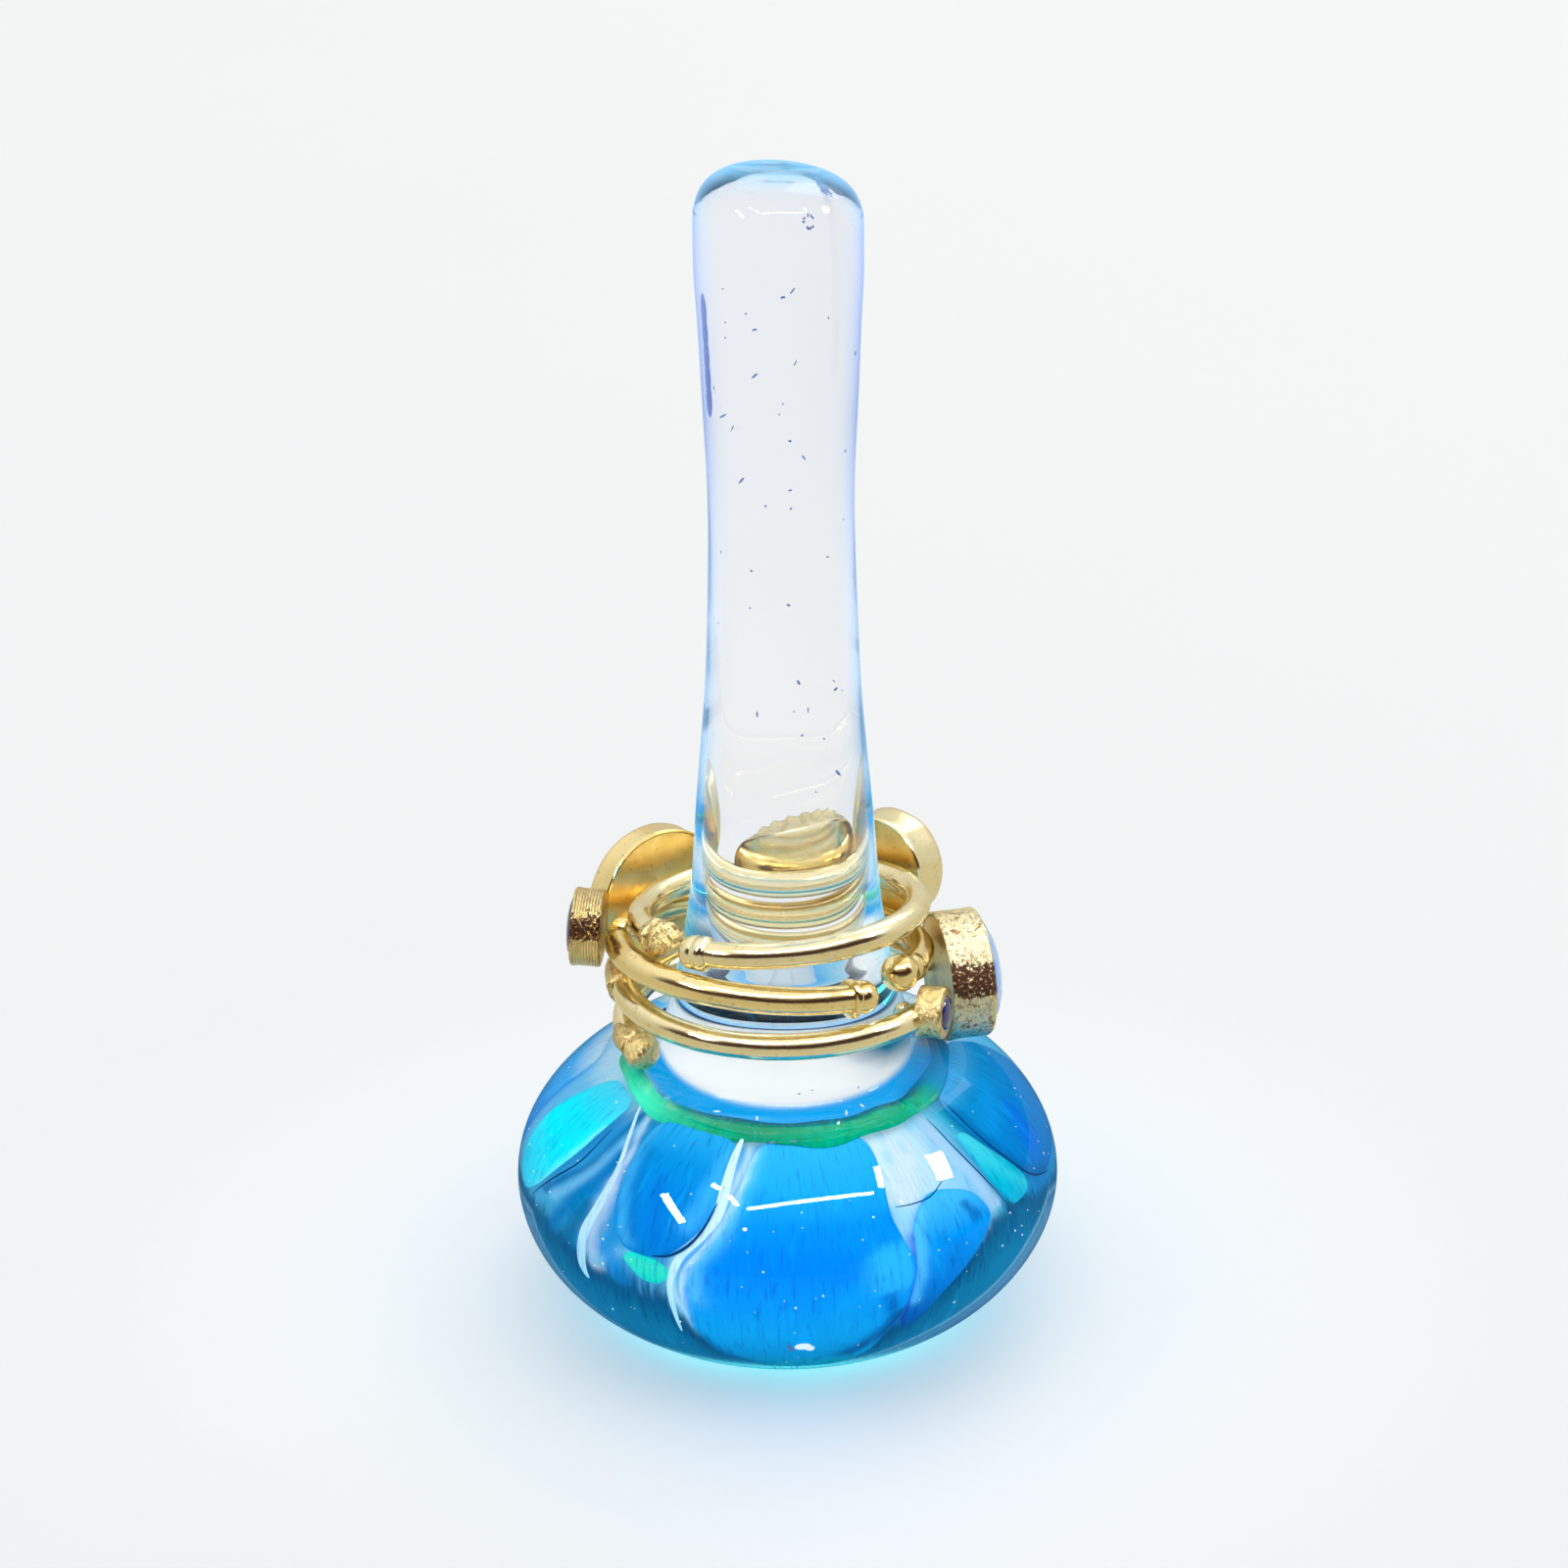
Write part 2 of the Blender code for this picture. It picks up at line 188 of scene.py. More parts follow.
class Shader:
    """A material with one Principled shader, and short calls for its nodes."""

    def __init__(self, name, **values):
        self.material = bpy.data.materials.new(name)
        self.material.use_nodes = True
        self.tree = self.material.node_tree
        for socket, value in values.items():
            self.set(socket.replace("_", " "), value)

    @classmethod
    def of_world(cls, world):
        """The same calls for a world's nodes."""
        world.use_nodes = True
        shader = cls.__new__(cls)
        shader.tree = world.node_tree
        return shader

    def add(self, kind, settings=None, **inputs):
        made = self.tree.nodes.new(kind)
        for key, value in (settings or {}).items():
            setattr(made, key, value)
        for socket, value in inputs.items():
            self.put(made.inputs[socket.replace("_", " ")], value)
        return made

    def put(self, socket, value):
        """Link an output to the socket, or set the socket's value."""
        if isinstance(value, bpy.types.NodeSocket):
            self.tree.links.new(value, socket)
        else:
            socket.default_value = value

    def set(self, socket, value):
        self.put(self.tree.nodes["Principled BSDF"].inputs[socket], value)

    def maths(self, operation, *values):
        made = self.add("ShaderNodeMath", {"operation": operation})
        for socket, value in zip(made.inputs, values):
            self.put(socket, value)
        return made.outputs[0]

    def times(self, first, second):
        return self.maths("MULTIPLY", first, second)

    def plus(self, first, second):
        return self.maths("ADD", first, second)

    def inverse(self, value):
        return self.maths("SUBTRACT", 1.0, value)

    def noise(self, vector, scale, detail=3.0, roughness=0.55, distortion=0.0):
        """Noise at one scale, or at a scale for each of the vector's axes."""
        if isinstance(scale, tuple):
            vector = self.add("ShaderNodeMapping", Vector=vector, Scale=scale).outputs["Vector"]
            scale = 1.0
        made = self.add("ShaderNodeTexNoise", Vector=vector, Scale=scale, Detail=detail,
                        Roughness=roughness, Distortion=distortion)
        return made.outputs["Fac"]

    def ramp(self, factor, stops):
        """A colour ramp; each stop is (position, colour)."""
        made = self.add("ShaderNodeValToRGB", Fac=factor)
        elements = made.color_ramp.elements
        while len(elements) < len(stops):
            elements.new(0.5)
        for element, (position, colour) in zip(elements, stops):
            element.position, element.color = position, colour
        return made.outputs["Color"]

    def band(self, factor, low, high):
        """0 below low, 1 above high, smooth between them."""
        settings = {"interpolation_type": "SMOOTHSTEP"}
        return self.add("ShaderNodeMapRange", settings, Value=factor, From_Min=low, From_Max=high).outputs["Result"]

    def mix(self, factor, first, second):
        made = self.add("ShaderNodeMix", {"data_type": "RGBA"}, Factor=factor)
        self.put(made.inputs[6], first)
        self.put(made.inputs[7], second)
        return made.outputs[2]

    def stain(self, tone, pattern, low, high, share, colour):
        """Lay a share of a colour over a tone where a pattern passes from low to high."""
        return self.mix(self.times(self.band(pattern, low, high), share), tone, colour)

    def attribute(self, name, output="Vector"):
        return self.add("ShaderNodeAttribute", {"attribute_name": name}).outputs[output]

    def parts(self, vector):
        return self.add("ShaderNodeSeparateXYZ", Vector=vector).outputs

    def place(self):
        return self.add("ShaderNodeTexCoord").outputs["Object"]

    def bump(self, height, strength, distance):
        made = self.add("ShaderNodeBump", Height=height, Strength=strength, Distance=distance)
        self.set("Normal", made.outputs["Normal"])

    def glow(self, colour, strength):
        """One colour for the surface and for the light it gives off."""
        self.set("Base Color", colour)
        self.set("Emission Color", colour)
        self.set("Emission Strength", strength)


# ---------------------------------------------------------------- materials


# Painted glow on the clear glass's edges by height (0 at the foot, 1 at the cap), standing in for the light bent
# through them: its tint and strength.
EDGE_GLOW_TINTS = [
    (0.0, rgb(60, 110, 166)), (0.20, rgb(96, 140, 190)), (0.33, rgb(62, 168, 196)), (0.46, rgb(96, 152, 190)),
    (0.62, rgb(180, 202, 234)), (0.80, rgb(112, 132, 190)), (0.94, rgb(152, 168, 222)), (1.0, rgb(132, 192, 222))]
EDGE_GLOW_STRENGTH = [(0.0, grey(0.03)), (0.23, grey(0.05)), (0.32, grey(0.85)), (0.62, grey(0.8)), (1.0, grey(0.95))]


def clear_glass():
    """Solid clear glass, with a painted lavender to sea-blue glow where it is seen edge on, standing in for the light
    bent through its edges, and fine marks.
    """
    shader = Shader("clear_glass", Transmission_Weight=1.0, IOR=1.48, Roughness=0.0,
                    Specular_Tint=(0.82, 0.92, 1.0, 1.0))
    place = shader.place()
    level = shader.maths("DIVIDE", shader.parts(place)[2], POST_HIGH.z)
    facing = shader.add("ShaderNodeLayerWeight", Blend=0.5).outputs["Facing"]
    # Painted light: towards the edges the glass lets less light through and glows with the edge tint instead.
    share = shader.times(shader.band(facing, 0.30, 0.86), shader.ramp(level, EDGE_GLOW_STRENGTH))
    wash = shader.mix(shader.band(level, 0.50, 0.82), grey(1.0), (0.945, 0.965, 1.0, 1.0))
    shader.glow(shader.ramp(level, EDGE_GLOW_TINTS), share)
    shader.set("Base Color", shader.mix(share, wash, (0.05, 0.10, 0.16, 1.0)))
    waves = shader.noise(place, 160.0, detail=1.0)
    marks = shader.noise(place, (900.0, 900.0, 260.0), detail=2.0)
    shader.bump(shader.plus(waves, shader.times(shader.band(marks, 0.72, 0.76), 0.01)), 0.05, 0.0002)
    absorb = shader.add("ShaderNodeVolumeAbsorption", Color=(0.62, 0.84, 1.0, 1.0), Density=2.5)
    shader.put(shader.tree.nodes["Material Output"].inputs["Volume"], absorb.outputs["Volume"])
    return shader.material


def painted_glass(name):
    """Coloured glass under the clear: its painted colour, drawn into fine strokes, with a painted glow standing in
    for the light that reaches it through the clear glass.
    """
    shader = Shader(name, Roughness=0.6, IOR=1.0, Specular_IOR_Level=0.0)
    place = shader.attribute("petal")
    glow, strokes_here, _ = shader.parts(shader.attribute("finish"))
    broad = shader.noise(place, (3.2, 0.5, 1.0), distortion=0.5)
    fine = shader.noise(place, (11.0, 1.1, 1.0), detail=5.0, roughness=0.6, distortion=0.4)
    body = shader.stain(shader.attribute("paint", "Color"), broad, 0.54, 0.74, 0.22, rgb(24, 196, 250))
    body = shader.stain(body, fine, 0.50, 0.70, strokes_here, rgb(2, 66, 142))
    shader.glow(body, shader.times(glow, PAINT_GLOW))
    return shader.material


def plain_inclusion(name, colour, glow):
    """Fine threads and seeds caught in the glass, with a little tone variation and a painted glow standing in for the
    light that reaches them.
    """
    shader = Shader(name, Roughness=0.4, IOR=1.0, Specular_IOR_Level=0.0)
    tone = shader.noise(shader.place(), 900.0, detail=2.0)
    shader.glow(shader.mix(tone, darker(colour, 0.7), colour), glow)
    return shader.material


DEEP_BROWN, BROWN = (0.10, 0.045, 0.03, 1.0), (0.34, 0.17, 0.04, 1.0)


def gold(name, bright, deep, brushed=0.4, rough_from=0.07, hammered=0.0, knurl=0.0, dark_band=None):
    """Worked gold: tone drift, polishing lines along the work, hammer marks and pits.
    The last argument gives the heights of a ragged dark band on its front."""
    shader = Shader(name, Metallic=1.0)
    place, grain = shader.place(), shader.attribute("grain")
    lines = shader.noise(grain, (0.35, 9.0, 1.0), detail=4.0, roughness=0.7)
    pits = shader.noise(place, 2600.0, detail=2.0)
    middle = tuple(0.5 * (a + b) for a, b in zip(bright, deep))
    tone = shader.ramp(shader.noise(place, 260.0), [(0.3, deep), (0.52, bright), (0.75, middle)])
    tone = shader.stain(tone, pits, 0.62, 0.72, 0.5, darker(deep, 0.55))
    shader.set("Roughness", shader.maths("MULTIPLY_ADD", lines, 0.13 * (0.5 + brushed), rough_from))
    relief = shader.plus(shader.times(lines, brushed), shader.times(pits, 0.35))
    if hammered:
        dents = shader.noise(place, 1700.0, detail=5.0, roughness=0.75)
        relief = shader.plus(relief, shader.times(dents, hammered))
        grit = shader.noise(place, (3400.0, 3400.0, 1500.0), detail=4.0, roughness=0.8)
        tone = shader.stain(tone, grit, 0.50, 0.36, 0.28 * hammered, DEEP_BROWN)
        pitted = shader.noise(place, 1150.0, detail=4.0, roughness=0.7)
        tone = shader.stain(tone, pitted, 0.575, 0.64, 0.36 * hammered, BROWN)
    if knurl:
        settings = {"wave_type": "BANDS", "bands_direction": "Y"}
        ribs = shader.add("ShaderNodeTexWave", settings, Vector=grain, Scale=knurl, Distortion=1.5).outputs["Fac"]
        relief = shader.plus(relief, ribs)
        tone = shader.mix(shader.times(ribs, 0.45), tone, BROWN)
    # A ragged dark band on the front side, between two given heights.
    if dark_band:
        low, high = dark_band
        _, across, height = shader.parts(place)
        ragged = shader.noise(place, 1300.0, detail=5.0, roughness=0.8)
        ragged = shader.maths("MULTIPLY_ADD", ragged, 2.4 * MM, height)
        patch = shader.times(shader.band(ragged, low, low + 0.1 * MM), shader.band(ragged, high + 0.1 * MM, high))
        patch = shader.times(patch, shader.band(across, 1.0 * MM, 0.0))
        tone = shader.stain(tone, shader.noise(place, 4200.0, roughness=0.7), 0.64, 0.54, patch, DEEP_BROWN)
    shader.set("Base Color", tone)
    shader.bump(relief, 0.8 if hammered or knurl else 0.35, 0.0001 if hammered else 0.00005)
    return shader.material


def moonstone():
    """A pale blue stone with a milky heart, and a faint painted glow standing in for the light inside it."""
    shader = Shader("moonstone_stone", Roughness=0.08, IOR=1.54, Coat_Weight=0.6)
    cloud = shader.noise(shader.place(), 420.0, detail=2.0)
    tones = [(0.3, rgb(104, 158, 236)), (0.5, rgb(146, 190, 244)), (0.72, rgb(200, 224, 250))]
    shader.glow(shader.ramp(cloud, tones), 0.12)
    return shader.material


def sapphire():
    shader = Shader("sapphire_stone", Roughness=0.05, IOR=1.76, Coat_Weight=0.5)
    cloud = shader.noise(shader.place(), 1500.0, detail=1.0)
    shader.set("Base Color", shader.ramp(cloud, [(0.3, rgb(8, 12, 60)), (0.7, rgb(28, 40, 120))]))
    return shader.material


def mirrored_in_glass(shader):
    """1 on rays that left a perfectly smooth mirror, which only the glass skin is."""
    ray = shader.add("ShaderNodeLightPath").outputs
    smooth = shader.times(ray["Is Glossy Ray"], ray["Is Singular Ray"])
    return shader.times(smooth, ray["Is Reflection Ray"])


def mirrored_in_metal(shader):
    """1 on rays that left the gold, whose mirror is never perfectly smooth."""
    ray = shader.add("ShaderNodeLightPath").outputs
    glossy = shader.times(ray["Is Glossy Ray"], ray["Is Reflection Ray"])
    return shader.times(glossy, shader.inverse(ray["Is Singular Ray"]))


def pale_floor():
    """White paper, warmer in the gold's mirror and dark in the glass's, with a painted glow round the foot."""
    shader = Shader("studio_floor", Roughness=0.55, Specular_IOR_Level=0.15, Emission_Color=(0.80, 1.0, 1.08, 1))
    place = shader.place()
    grain = shader.noise(place, 9.0, detail=2.0)
    paper = shader.ramp(grain, [(0.3, (0.878, 0.882, 0.886, 1)), (0.7, (0.884, 0.886, 0.888, 1))])
    paper = shader.mix(mirrored_in_metal(shader), paper, (0.64, 0.59, 0.42, 1))
    in_glass = mirrored_in_glass(shader)
    shader.set("Base Color", shader.mix(in_glass, paper, (0.02, 0.13, 0.24, 1)))
    # A painted glow round the foot, standing in for the light that the glass throws there.
    reach = shader.add("ShaderNodeVectorMath", {"operation": "LENGTH"}, Vector=place).outputs["Value"]
    near, wide = shader.band(reach, 0.026, 0.012), shader.band(reach, 0.062, 0.018)
    painted_floor_glow = shader.plus(shader.times(near, 0.03), shader.times(wide, 0.12))
    shader.set("Emission Strength", shader.times(painted_floor_glow, shader.inverse(in_glass)))
    return shader.material


# ---------------------------------------------------------------- mesh helpers


def smooth_row(knots, t):
    """A Catmull-Rom reading of rows of numbers, with t from 0 to 1 over all of them."""
    ends = [knots[0], *knots, knots[-1]]
    place = min(t, 0.99999) * (len(knots) - 1)
    index = int(place)
    f = place - index
    a, b, c, d = ends[index : index + 4]
    return [catmull(a[k], b[k], c[k], d[k], f) for k in range(len(b))]


def catmull(a, b, c, d, t):
    slope = (c - a) * t
    bend = (2 * a - 5 * b + 4 * c - d) * t**2
    twist = (3 * b - a - 3 * c + d) * t**3
    return b + (slope + bend + twist) / 2


def circle(count):
    """Equal turns round a circle, in radians."""
    return [math.tau * k / count for k in range(count)]


def polar(reach, turn, height=0.0):
    return Vector((reach * math.cos(turn), reach * math.sin(turn), height))


def skin(bm, grid, around=False, caps=False, closed=False):
    """Faces over rows of vertices. around joins each row's ends, closed joins the last
    row to the first, and caps close both ends."""
    wide = len(grid[0])
    for lower, upper in zip(grid, grid[1:] + grid[:1] if closed else grid[1:]):
        for k in range(wide if around else wide - 1):
            n = (k + 1) % wide
            bm.faces.new((lower[k], lower[n], upper[n], upper[k]))
    if caps:
        bm.faces.new(list(reversed(grid[0])))
        bm.faces.new(grid[-1])


def sheet_mesh(name, rows, caps=False, closed=False):
    """A mesh over rows of points that each go all the way round."""
    bm = bmesh.new()
    skin(bm, [[bm.verts.new(point) for point in row] for row in rows], True, caps, closed)
    return finish_mesh(name, bm)


def in_rows(points, wide):
    return [points[k : k + wide] for k in range(0, len(points), wide)]


def finish_mesh(name, bm):
    bmesh.ops.recalc_face_normals(bm, faces=bm.faces)
    mesh = bpy.data.meshes.new(name)
    bm.to_mesh(mesh)
    bm.free()
    mesh.shade_smooth()
    return mesh


def write_vectors(mesh, name, values):
    layer = mesh.attributes.new(name, "FLOAT_VECTOR", "POINT")
    layer.data.foreach_set("vector", [number for value in values for number in value])


def in_scene(name, data):
    obj = bpy.data.objects.new(name, data)
    bpy.context.scene.collection.objects.link(obj)
    return obj


def piece(name, mesh, material, body, nodes=()):
    """Put a finished mesh in the scene, tie it to its body and hide the CAD nodes it stands for."""
    obj = in_scene(name, mesh)
    mesh.materials.append(material)
    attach(obj, body)
    if nodes:
        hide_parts(*nodes)


# ---------------------------------------------------------------- glass body


def spheroid(azimuth, latitude, depth=0.0):
    """A point under the base's clear skin, at a depth below its spheroid."""
    turn, tilt = math.radians(azimuth), math.radians(latitude)
    reach = (BASE_RADIUS - depth) * math.cos(tilt)
    return polar(reach, turn, BASE_CENTRE_Z + (BASE_HALF_HEIGHT - depth) * math.sin(tilt))


def post_levels():
    """(radius, height) down the post: a squarish melted cap, then the CAD post's levels."""
    levels = {}
    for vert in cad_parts["post"].data.vertices:
        height = round(vert.co.z, 5)
        levels[height] = max(levels.get(height, 0.0), math.hypot(vert.co.x, vert.co.y))
    base = POST_HIGH.z - CAP_HEIGHT
    below = [(levels[height], height) for height in sorted(levels, reverse=True) if FLARE_Z < height < base]
    cap = []
    for k in range(CAP_ROWS):
        turn = math.radians(90 - 90 * k / CAP_ROWS)
        share = math.cos(turn) ** (2 / CAP_SQUARENESS) if k else 0.0
        cap.append((below[0][0] * share, base + CAP_HEIGHT * math.sin(turn) ** (2 / CAP_SQUARENESS)))
    return cap + below


def glass_profile():
    """The clear body's outline from the top of the post to the middle of the foot."""
    knots = post_levels()
    knots += [(9.05 * MM, 19.2 * MM), (9.9 * MM, 18.6 * MM), (11.0 * MM, 18.4 * MM)]
    for latitude in range(CROWN_LATITUDE, -50, -8):
        point = spheroid(0, latitude)
        knots.append((point.x, point.z))
    knots += [(FOOT + 0.25 * MM, 0.25 * MM), (FOOT - 0.3 * MM, 0.0), (FOOT - 1.2 * MM, 0.0)]
    knots += [(9.0 * MM, 0.12 * MM), (4.0 * MM, 0.3 * MM), (0.0, 0.3 * MM)]
    steps = (len(knots) - 1) * STEPS_PER_KNOT
    return [smooth_row(knots, k / steps) for k in range(steps + 1)]


def worked(point):
    """Hand-worked unevenness: slow waves round the glass and a cap that leans."""
    lean = max(0.0, (point.z - CAP_LEAN_FROM_Z) / (POST_HIGH.z - CAP_LEAN_FROM_Z))
    side = point.x / (6 * MM)
    wave = noise.noise(point * 90.0) * 0.10 * MM
    reach = math.hypot(point.x, point.y)
    inward = 1 - (0.10 * MM - wave) / max(reach, 3 * MM)
    drop = CAP_DROP * lean**2 * (0.5 + 0.5 * max(-1.0, min(1.0, side)))
    return Vector((point.x * inward, point.y * inward, point.z - drop))


def build_glass_body():
    turns = circle(GLASS_TURNS)
    rows = [[worked(polar(radius, turn, height)) for turn in turns] for radius, height in glass_profile()]
    bm = bmesh.new()
    grid = [[bm.verts.new(point) for point in row] for row in rows[1:-1]]
    top, foot = bm.verts.new(rows[0][0]), bm.verts.new(rows[-1][0])
    skin(bm, grid, around=True)
    for k in range(GLASS_TURNS):
        n = (k + 1) % GLASS_TURNS
        bm.faces.new((top, grid[0][k], grid[0][n]))
        bm.faces.new((foot, grid[-1][n], grid[-1][k]))
    mesh = finish_mesh("clear_glass_body", bm)
    piece("clear_glass_body", mesh, clear_glass(), HOLDER_BODY, ("post", "base_casing"))


# ---------------------------------------------------------------- paint on the glass


# Colour up each petal, bottom to top: (latitude, display colour).
PETAL_TONES = {
    "blue_petal_front": [
        (-38, (3, 162, 196)), (-28, (4, 160, 224)), (-16, (12, 172, 246)), (-3, (6, 150, 242)),
        (10, (2, 138, 244)), (24, (4, 142, 246)), (34, (26, 164, 250)), (51, (46, 178, 250))],
    "blue_petal_front_left": [
        (9, (3, 124, 204)), (16, (3, 126, 212)), (28, (2, 130, 214)), (40, (4, 142, 214)),
        (50, (36, 168, 230))],
    "green_petal_fleck": [(0, (2, 214, 196)), (6, (52, 224, 196)), (9, (20, 218, 200))],
    "cyan_petal_left": [
        (3, (60, 206, 236)), (14, (34, 224, 246)), (26, (0, 238, 248)), (36, (16, 230, 246)),
        (49, (84, 206, 236))],
    "blue_petal_left_back": [(-14, (2, 96, 170)), (8, (4, 130, 224)), (32, (60, 170, 236)), (43, (196, 228, 244))],
    "teal_petal_back_left": [(-28, (2, 90, 130)), (0, (2, 160, 190)), (28, (20, 190, 214)), (43, (214, 238, 244))],
    "blue_petal_back": [(-38, (4, 130, 190)), (0, (4, 134, 240)), (26, (20, 150, 244)), (43, (226, 240, 246))],
    "cyan_petal_back_right": [(-26, (2, 150, 190)), (8, (6, 214, 238)), (28, (30, 212, 238)), (43, (214, 238, 246))],
    "white_vein_front": [(-18, (170, 232, 248)), (10, (200, 240, 250)), (50, (214, 240, 250))],
    "white_vein_left": [(-6, (170, 226, 248)), (20, (190, 226, 244)), (52, (206, 228, 244))],
    "blue_petal_right": [
        (6, (2, 110, 190)), (16, (2, 118, 194)), (30, (2, 126, 196)), (42, (6, 134, 194)),
        (50, (60, 168, 222))],
    "teal_petal_right": [(9, (4, 170, 206)), (22, (6, 186, 210)), (38, (72, 206, 222))],
    "blue_petal_front_right": [
        (-17, (2, 92, 176)), (-2, (2, 128, 216)), (12, (3, 146, 232)), (24, (60, 178, 232))],
}
# Soft strokes: a path of (azimuth, latitude), half width and softness in degrees, the
# colour and its strength.
PETAL_STROKES = {
    "blue_petal_front": [
        ([(250, -4), (249, 8), (254, 20), (258, 34), (261, 48)], 1.4, 1.0, (96, 204, 250), 0.7),
        ([(246, -16), (245.5, -2), (246, 7), (250, 16), (253.5, 25), (256.5, 35), (258.5, 45), (259, 51)],
         1.0, 0.6, (206, 240, 250), 0.9),
        ([(262, 12), (272, 14), (284, 10)], 5.0, 3.0, (0, 128, 244), 0.8),
        ([(293, 10), (293, 3)], 5.0, 0.9, (44, 184, 248), 0.85),
        ([(286, -2), (280, -14)], 4.0, 2.5, (10, 166, 240), 0.6),
        ([(292, -3), (296, -20)], 0.9, 0.9, (2, 78, 170), 0.8),
        ([(284, -30), (290, -22), (296, -12)], 2.0, 1.2, (2, 80, 150), 0.9),
        ([(248, -20), (253, -30), (263, -37)], 1.9, 1.2, (0, 80, 150), 0.85),
        ([(262, -37), (286, -35)], 2.0, 1.6, (6, 168, 196), 0.8),
    ],
    "blue_petal_front_left": [
        ([(224, 48), (225, 36), (228, 22), (232, 12)], 1.3, 1.0, (70, 176, 224), 0.7),
        ([(228.5, 40), (230, 28), (233, 17)], 0.8, 0.8, (4, 112, 184), 0.6),
        ([(236, 34), (238, 20), (241, 14)], 1.1, 1.0, (2, 108, 206), 0.6),
        ([(252, 46), (250, 33), (246.5, 22)], 1.8, 1.4, (64, 182, 246), 0.8),
    ],
    "cyan_petal_left": [
        ([(186, 8), (196, 24), (200, 44)], 2.2, 1.6, (20, 206, 238), 0.5),
        ([(197, 6), (204, 22), (208.5, 38)], 0.7, 0.6, (130, 244, 250), 0.7),
    ],
    "blue_petal_right": [
        ([(350, 30), (348, 18)], 3.0, 1.6, (0, 104, 216), 0.8),
        ([(352, 40), (340, 34)], 3.0, 2.0, (4, 150, 222), 0.6),
        ([(332, 44), (334, 28), (340, 15), (350, 7)], 0.9, 0.8, (2, 96, 158), 0.8),
    ],
    "teal_petal_right": [([(327, 36), (331, 22), (337, 12)], 1.2, 1.0, (60, 208, 222), 0.6)],
    "blue_petal_front_right": [
        ([(303, 26), (300.5, 18), (299.5, 6), (297.5, -8)], 1.2, 0.9, (90, 200, 248), 0.85),
        ([(315, 20), (317, 14)], 0.8, 0.6, (2, 88, 176), 0.8),
        ([(310, 8), (306, -4)], 2.0, 1.4, (2, 120, 214), 0.7),
    ],
}
# The pale gather between the petals: its colour round the base at mid height.
GATHER_TONES = [
    (0, (30, 150, 215)), (25, (90, 195, 232)), (60, (150, 215, 240)), (100, (90, 200, 236)),
    (140, (120, 205, 238)), (180, (96, 186, 226)), (200, (70, 172, 214)), (212, (24, 138, 196)),
    (226, (32, 150, 214)), (250, (120, 206, 242)), (275, (40, 166, 236)), (300, (160, 218, 246)),
    (318, (150, 208, 238)), (330, (30, 172, 206)), (345, (14, 132, 200))]
# Where the dark lower glass ends: (azimuth, latitude), round the whole base.
DARK_EDGE = [
    (180, -2), (200, 0), (214, -3), (226, -5), (240, -6), (248, -22), (270, -40), (290, -24), (300, -13), (306, -6),
    (313, 0), (324, 8), (334, 9), (344, 2), (10, -8), (50, -20), (80, -40), (104, -22), (140, -8)]
# Below this line the gather is painted slate blue, with a pale line along it: painted light of the clear casing's
# rim.
CASING_EDGE = [
    (180, -8), (194, -6), (204, -18), (216, -30), (230, -40), (270, -46), (290, -42), (305, -32), (326, -20),
    (339, -10), (350, -4), (20, -18), (80, -44), (140, -18)]
GATHER_STROKES = [
    # Sky and lavender high on the left, and the white rim under the green band.
    ([(150, 46), (178, 46), (200, 50)], 7.0, 3.0, (196, 226, 242), 0.85),
    ([(160, 30), (182, 34)], 6.0, 3.0, (120, 196, 232), 0.6),
    ([(212, 50), (230, 51.5), (262, 51)], 1.6, 1.0, (206, 234, 246), 0.8),
    # Left: the line under the cyan lens, a pale stripe and teal strokes.
    ([(199, 7), (205, 17), (211, 27), (212.5, 40), (213, 50)], 1.0, 0.5, (6, 108, 172), 0.95),
    ([(203, 8), (208, 16), (213.5, 28), (216, 43)], 1.2, 0.9, (120, 196, 232), 0.85),
    ([(205, -2), (211, 12), (216, 24), (217.5, 34)], 1.7, 1.0, (0, 116, 184), 1.0),
    ([(210, -4), (214, 6), (216, 14)], 2.0, 1.2, (4, 98, 144), 0.8),
    # Left vein, wide at its foot, with a branch to the right.
    ([(213, 54), (216, 46), (220, 36), (221, 22)], 0.9, 0.5, (196, 222, 242), 0.95),
    ([(221, 24), (220.5, 12), (219.5, 4), (222, -5)], 1.7, 0.9, (198, 226, 244), 0.95),
    ([(222, -4), (226, 1), (231, 6)], 1.4, 1.0, (126, 206, 242), 0.8),
    ([(226, 2), (229, -6)], 2.2, 1.4, (10, 140, 220), 0.8),
    # Pale panel at the right, and the lavender strip beside the teal petal.
    ([(299, 50), (298.5, 38), (298.5, 28)], 2.4, 0.8, (214, 236, 248), 0.95),
    ([(308, 49), (306, 38), (303, 29)], 4.4, 1.0, (206, 226, 244), 0.95),
    ([(315, 44), (312, 34), (310, 28)], 2.0, 1.0, (188, 222, 238), 0.85),
    ([(321, 48), (321, 36), (323.5, 24), (326, 12)], 1.6, 0.6, (172, 208, 236), 0.95),
    ([(330, 52), (340, 54), (352, 55)], 1.2, 0.7, (176, 208, 236), 0.9),
    ([(298, 26), (300, 15), (301.5, 7)], 1.0, 0.8, (160, 216, 246), 0.9),
    ([(302, 13), (301.5, 2), (299, -10), (297, -19)], 2.4, 1.4, (2, 122, 212), 0.95),
    # White vein between the two front petals.
    ([(257, 51), (257, 45), (254.5, 34), (251, 23), (247, 15)], 0.8, 0.45, (214, 240, 250), 1.0),
    ([(247, 15), (243.5, 8), (243, -2), (246, -12), (248, -18)], 0.9, 0.5, (196, 236, 248), 0.95),
]


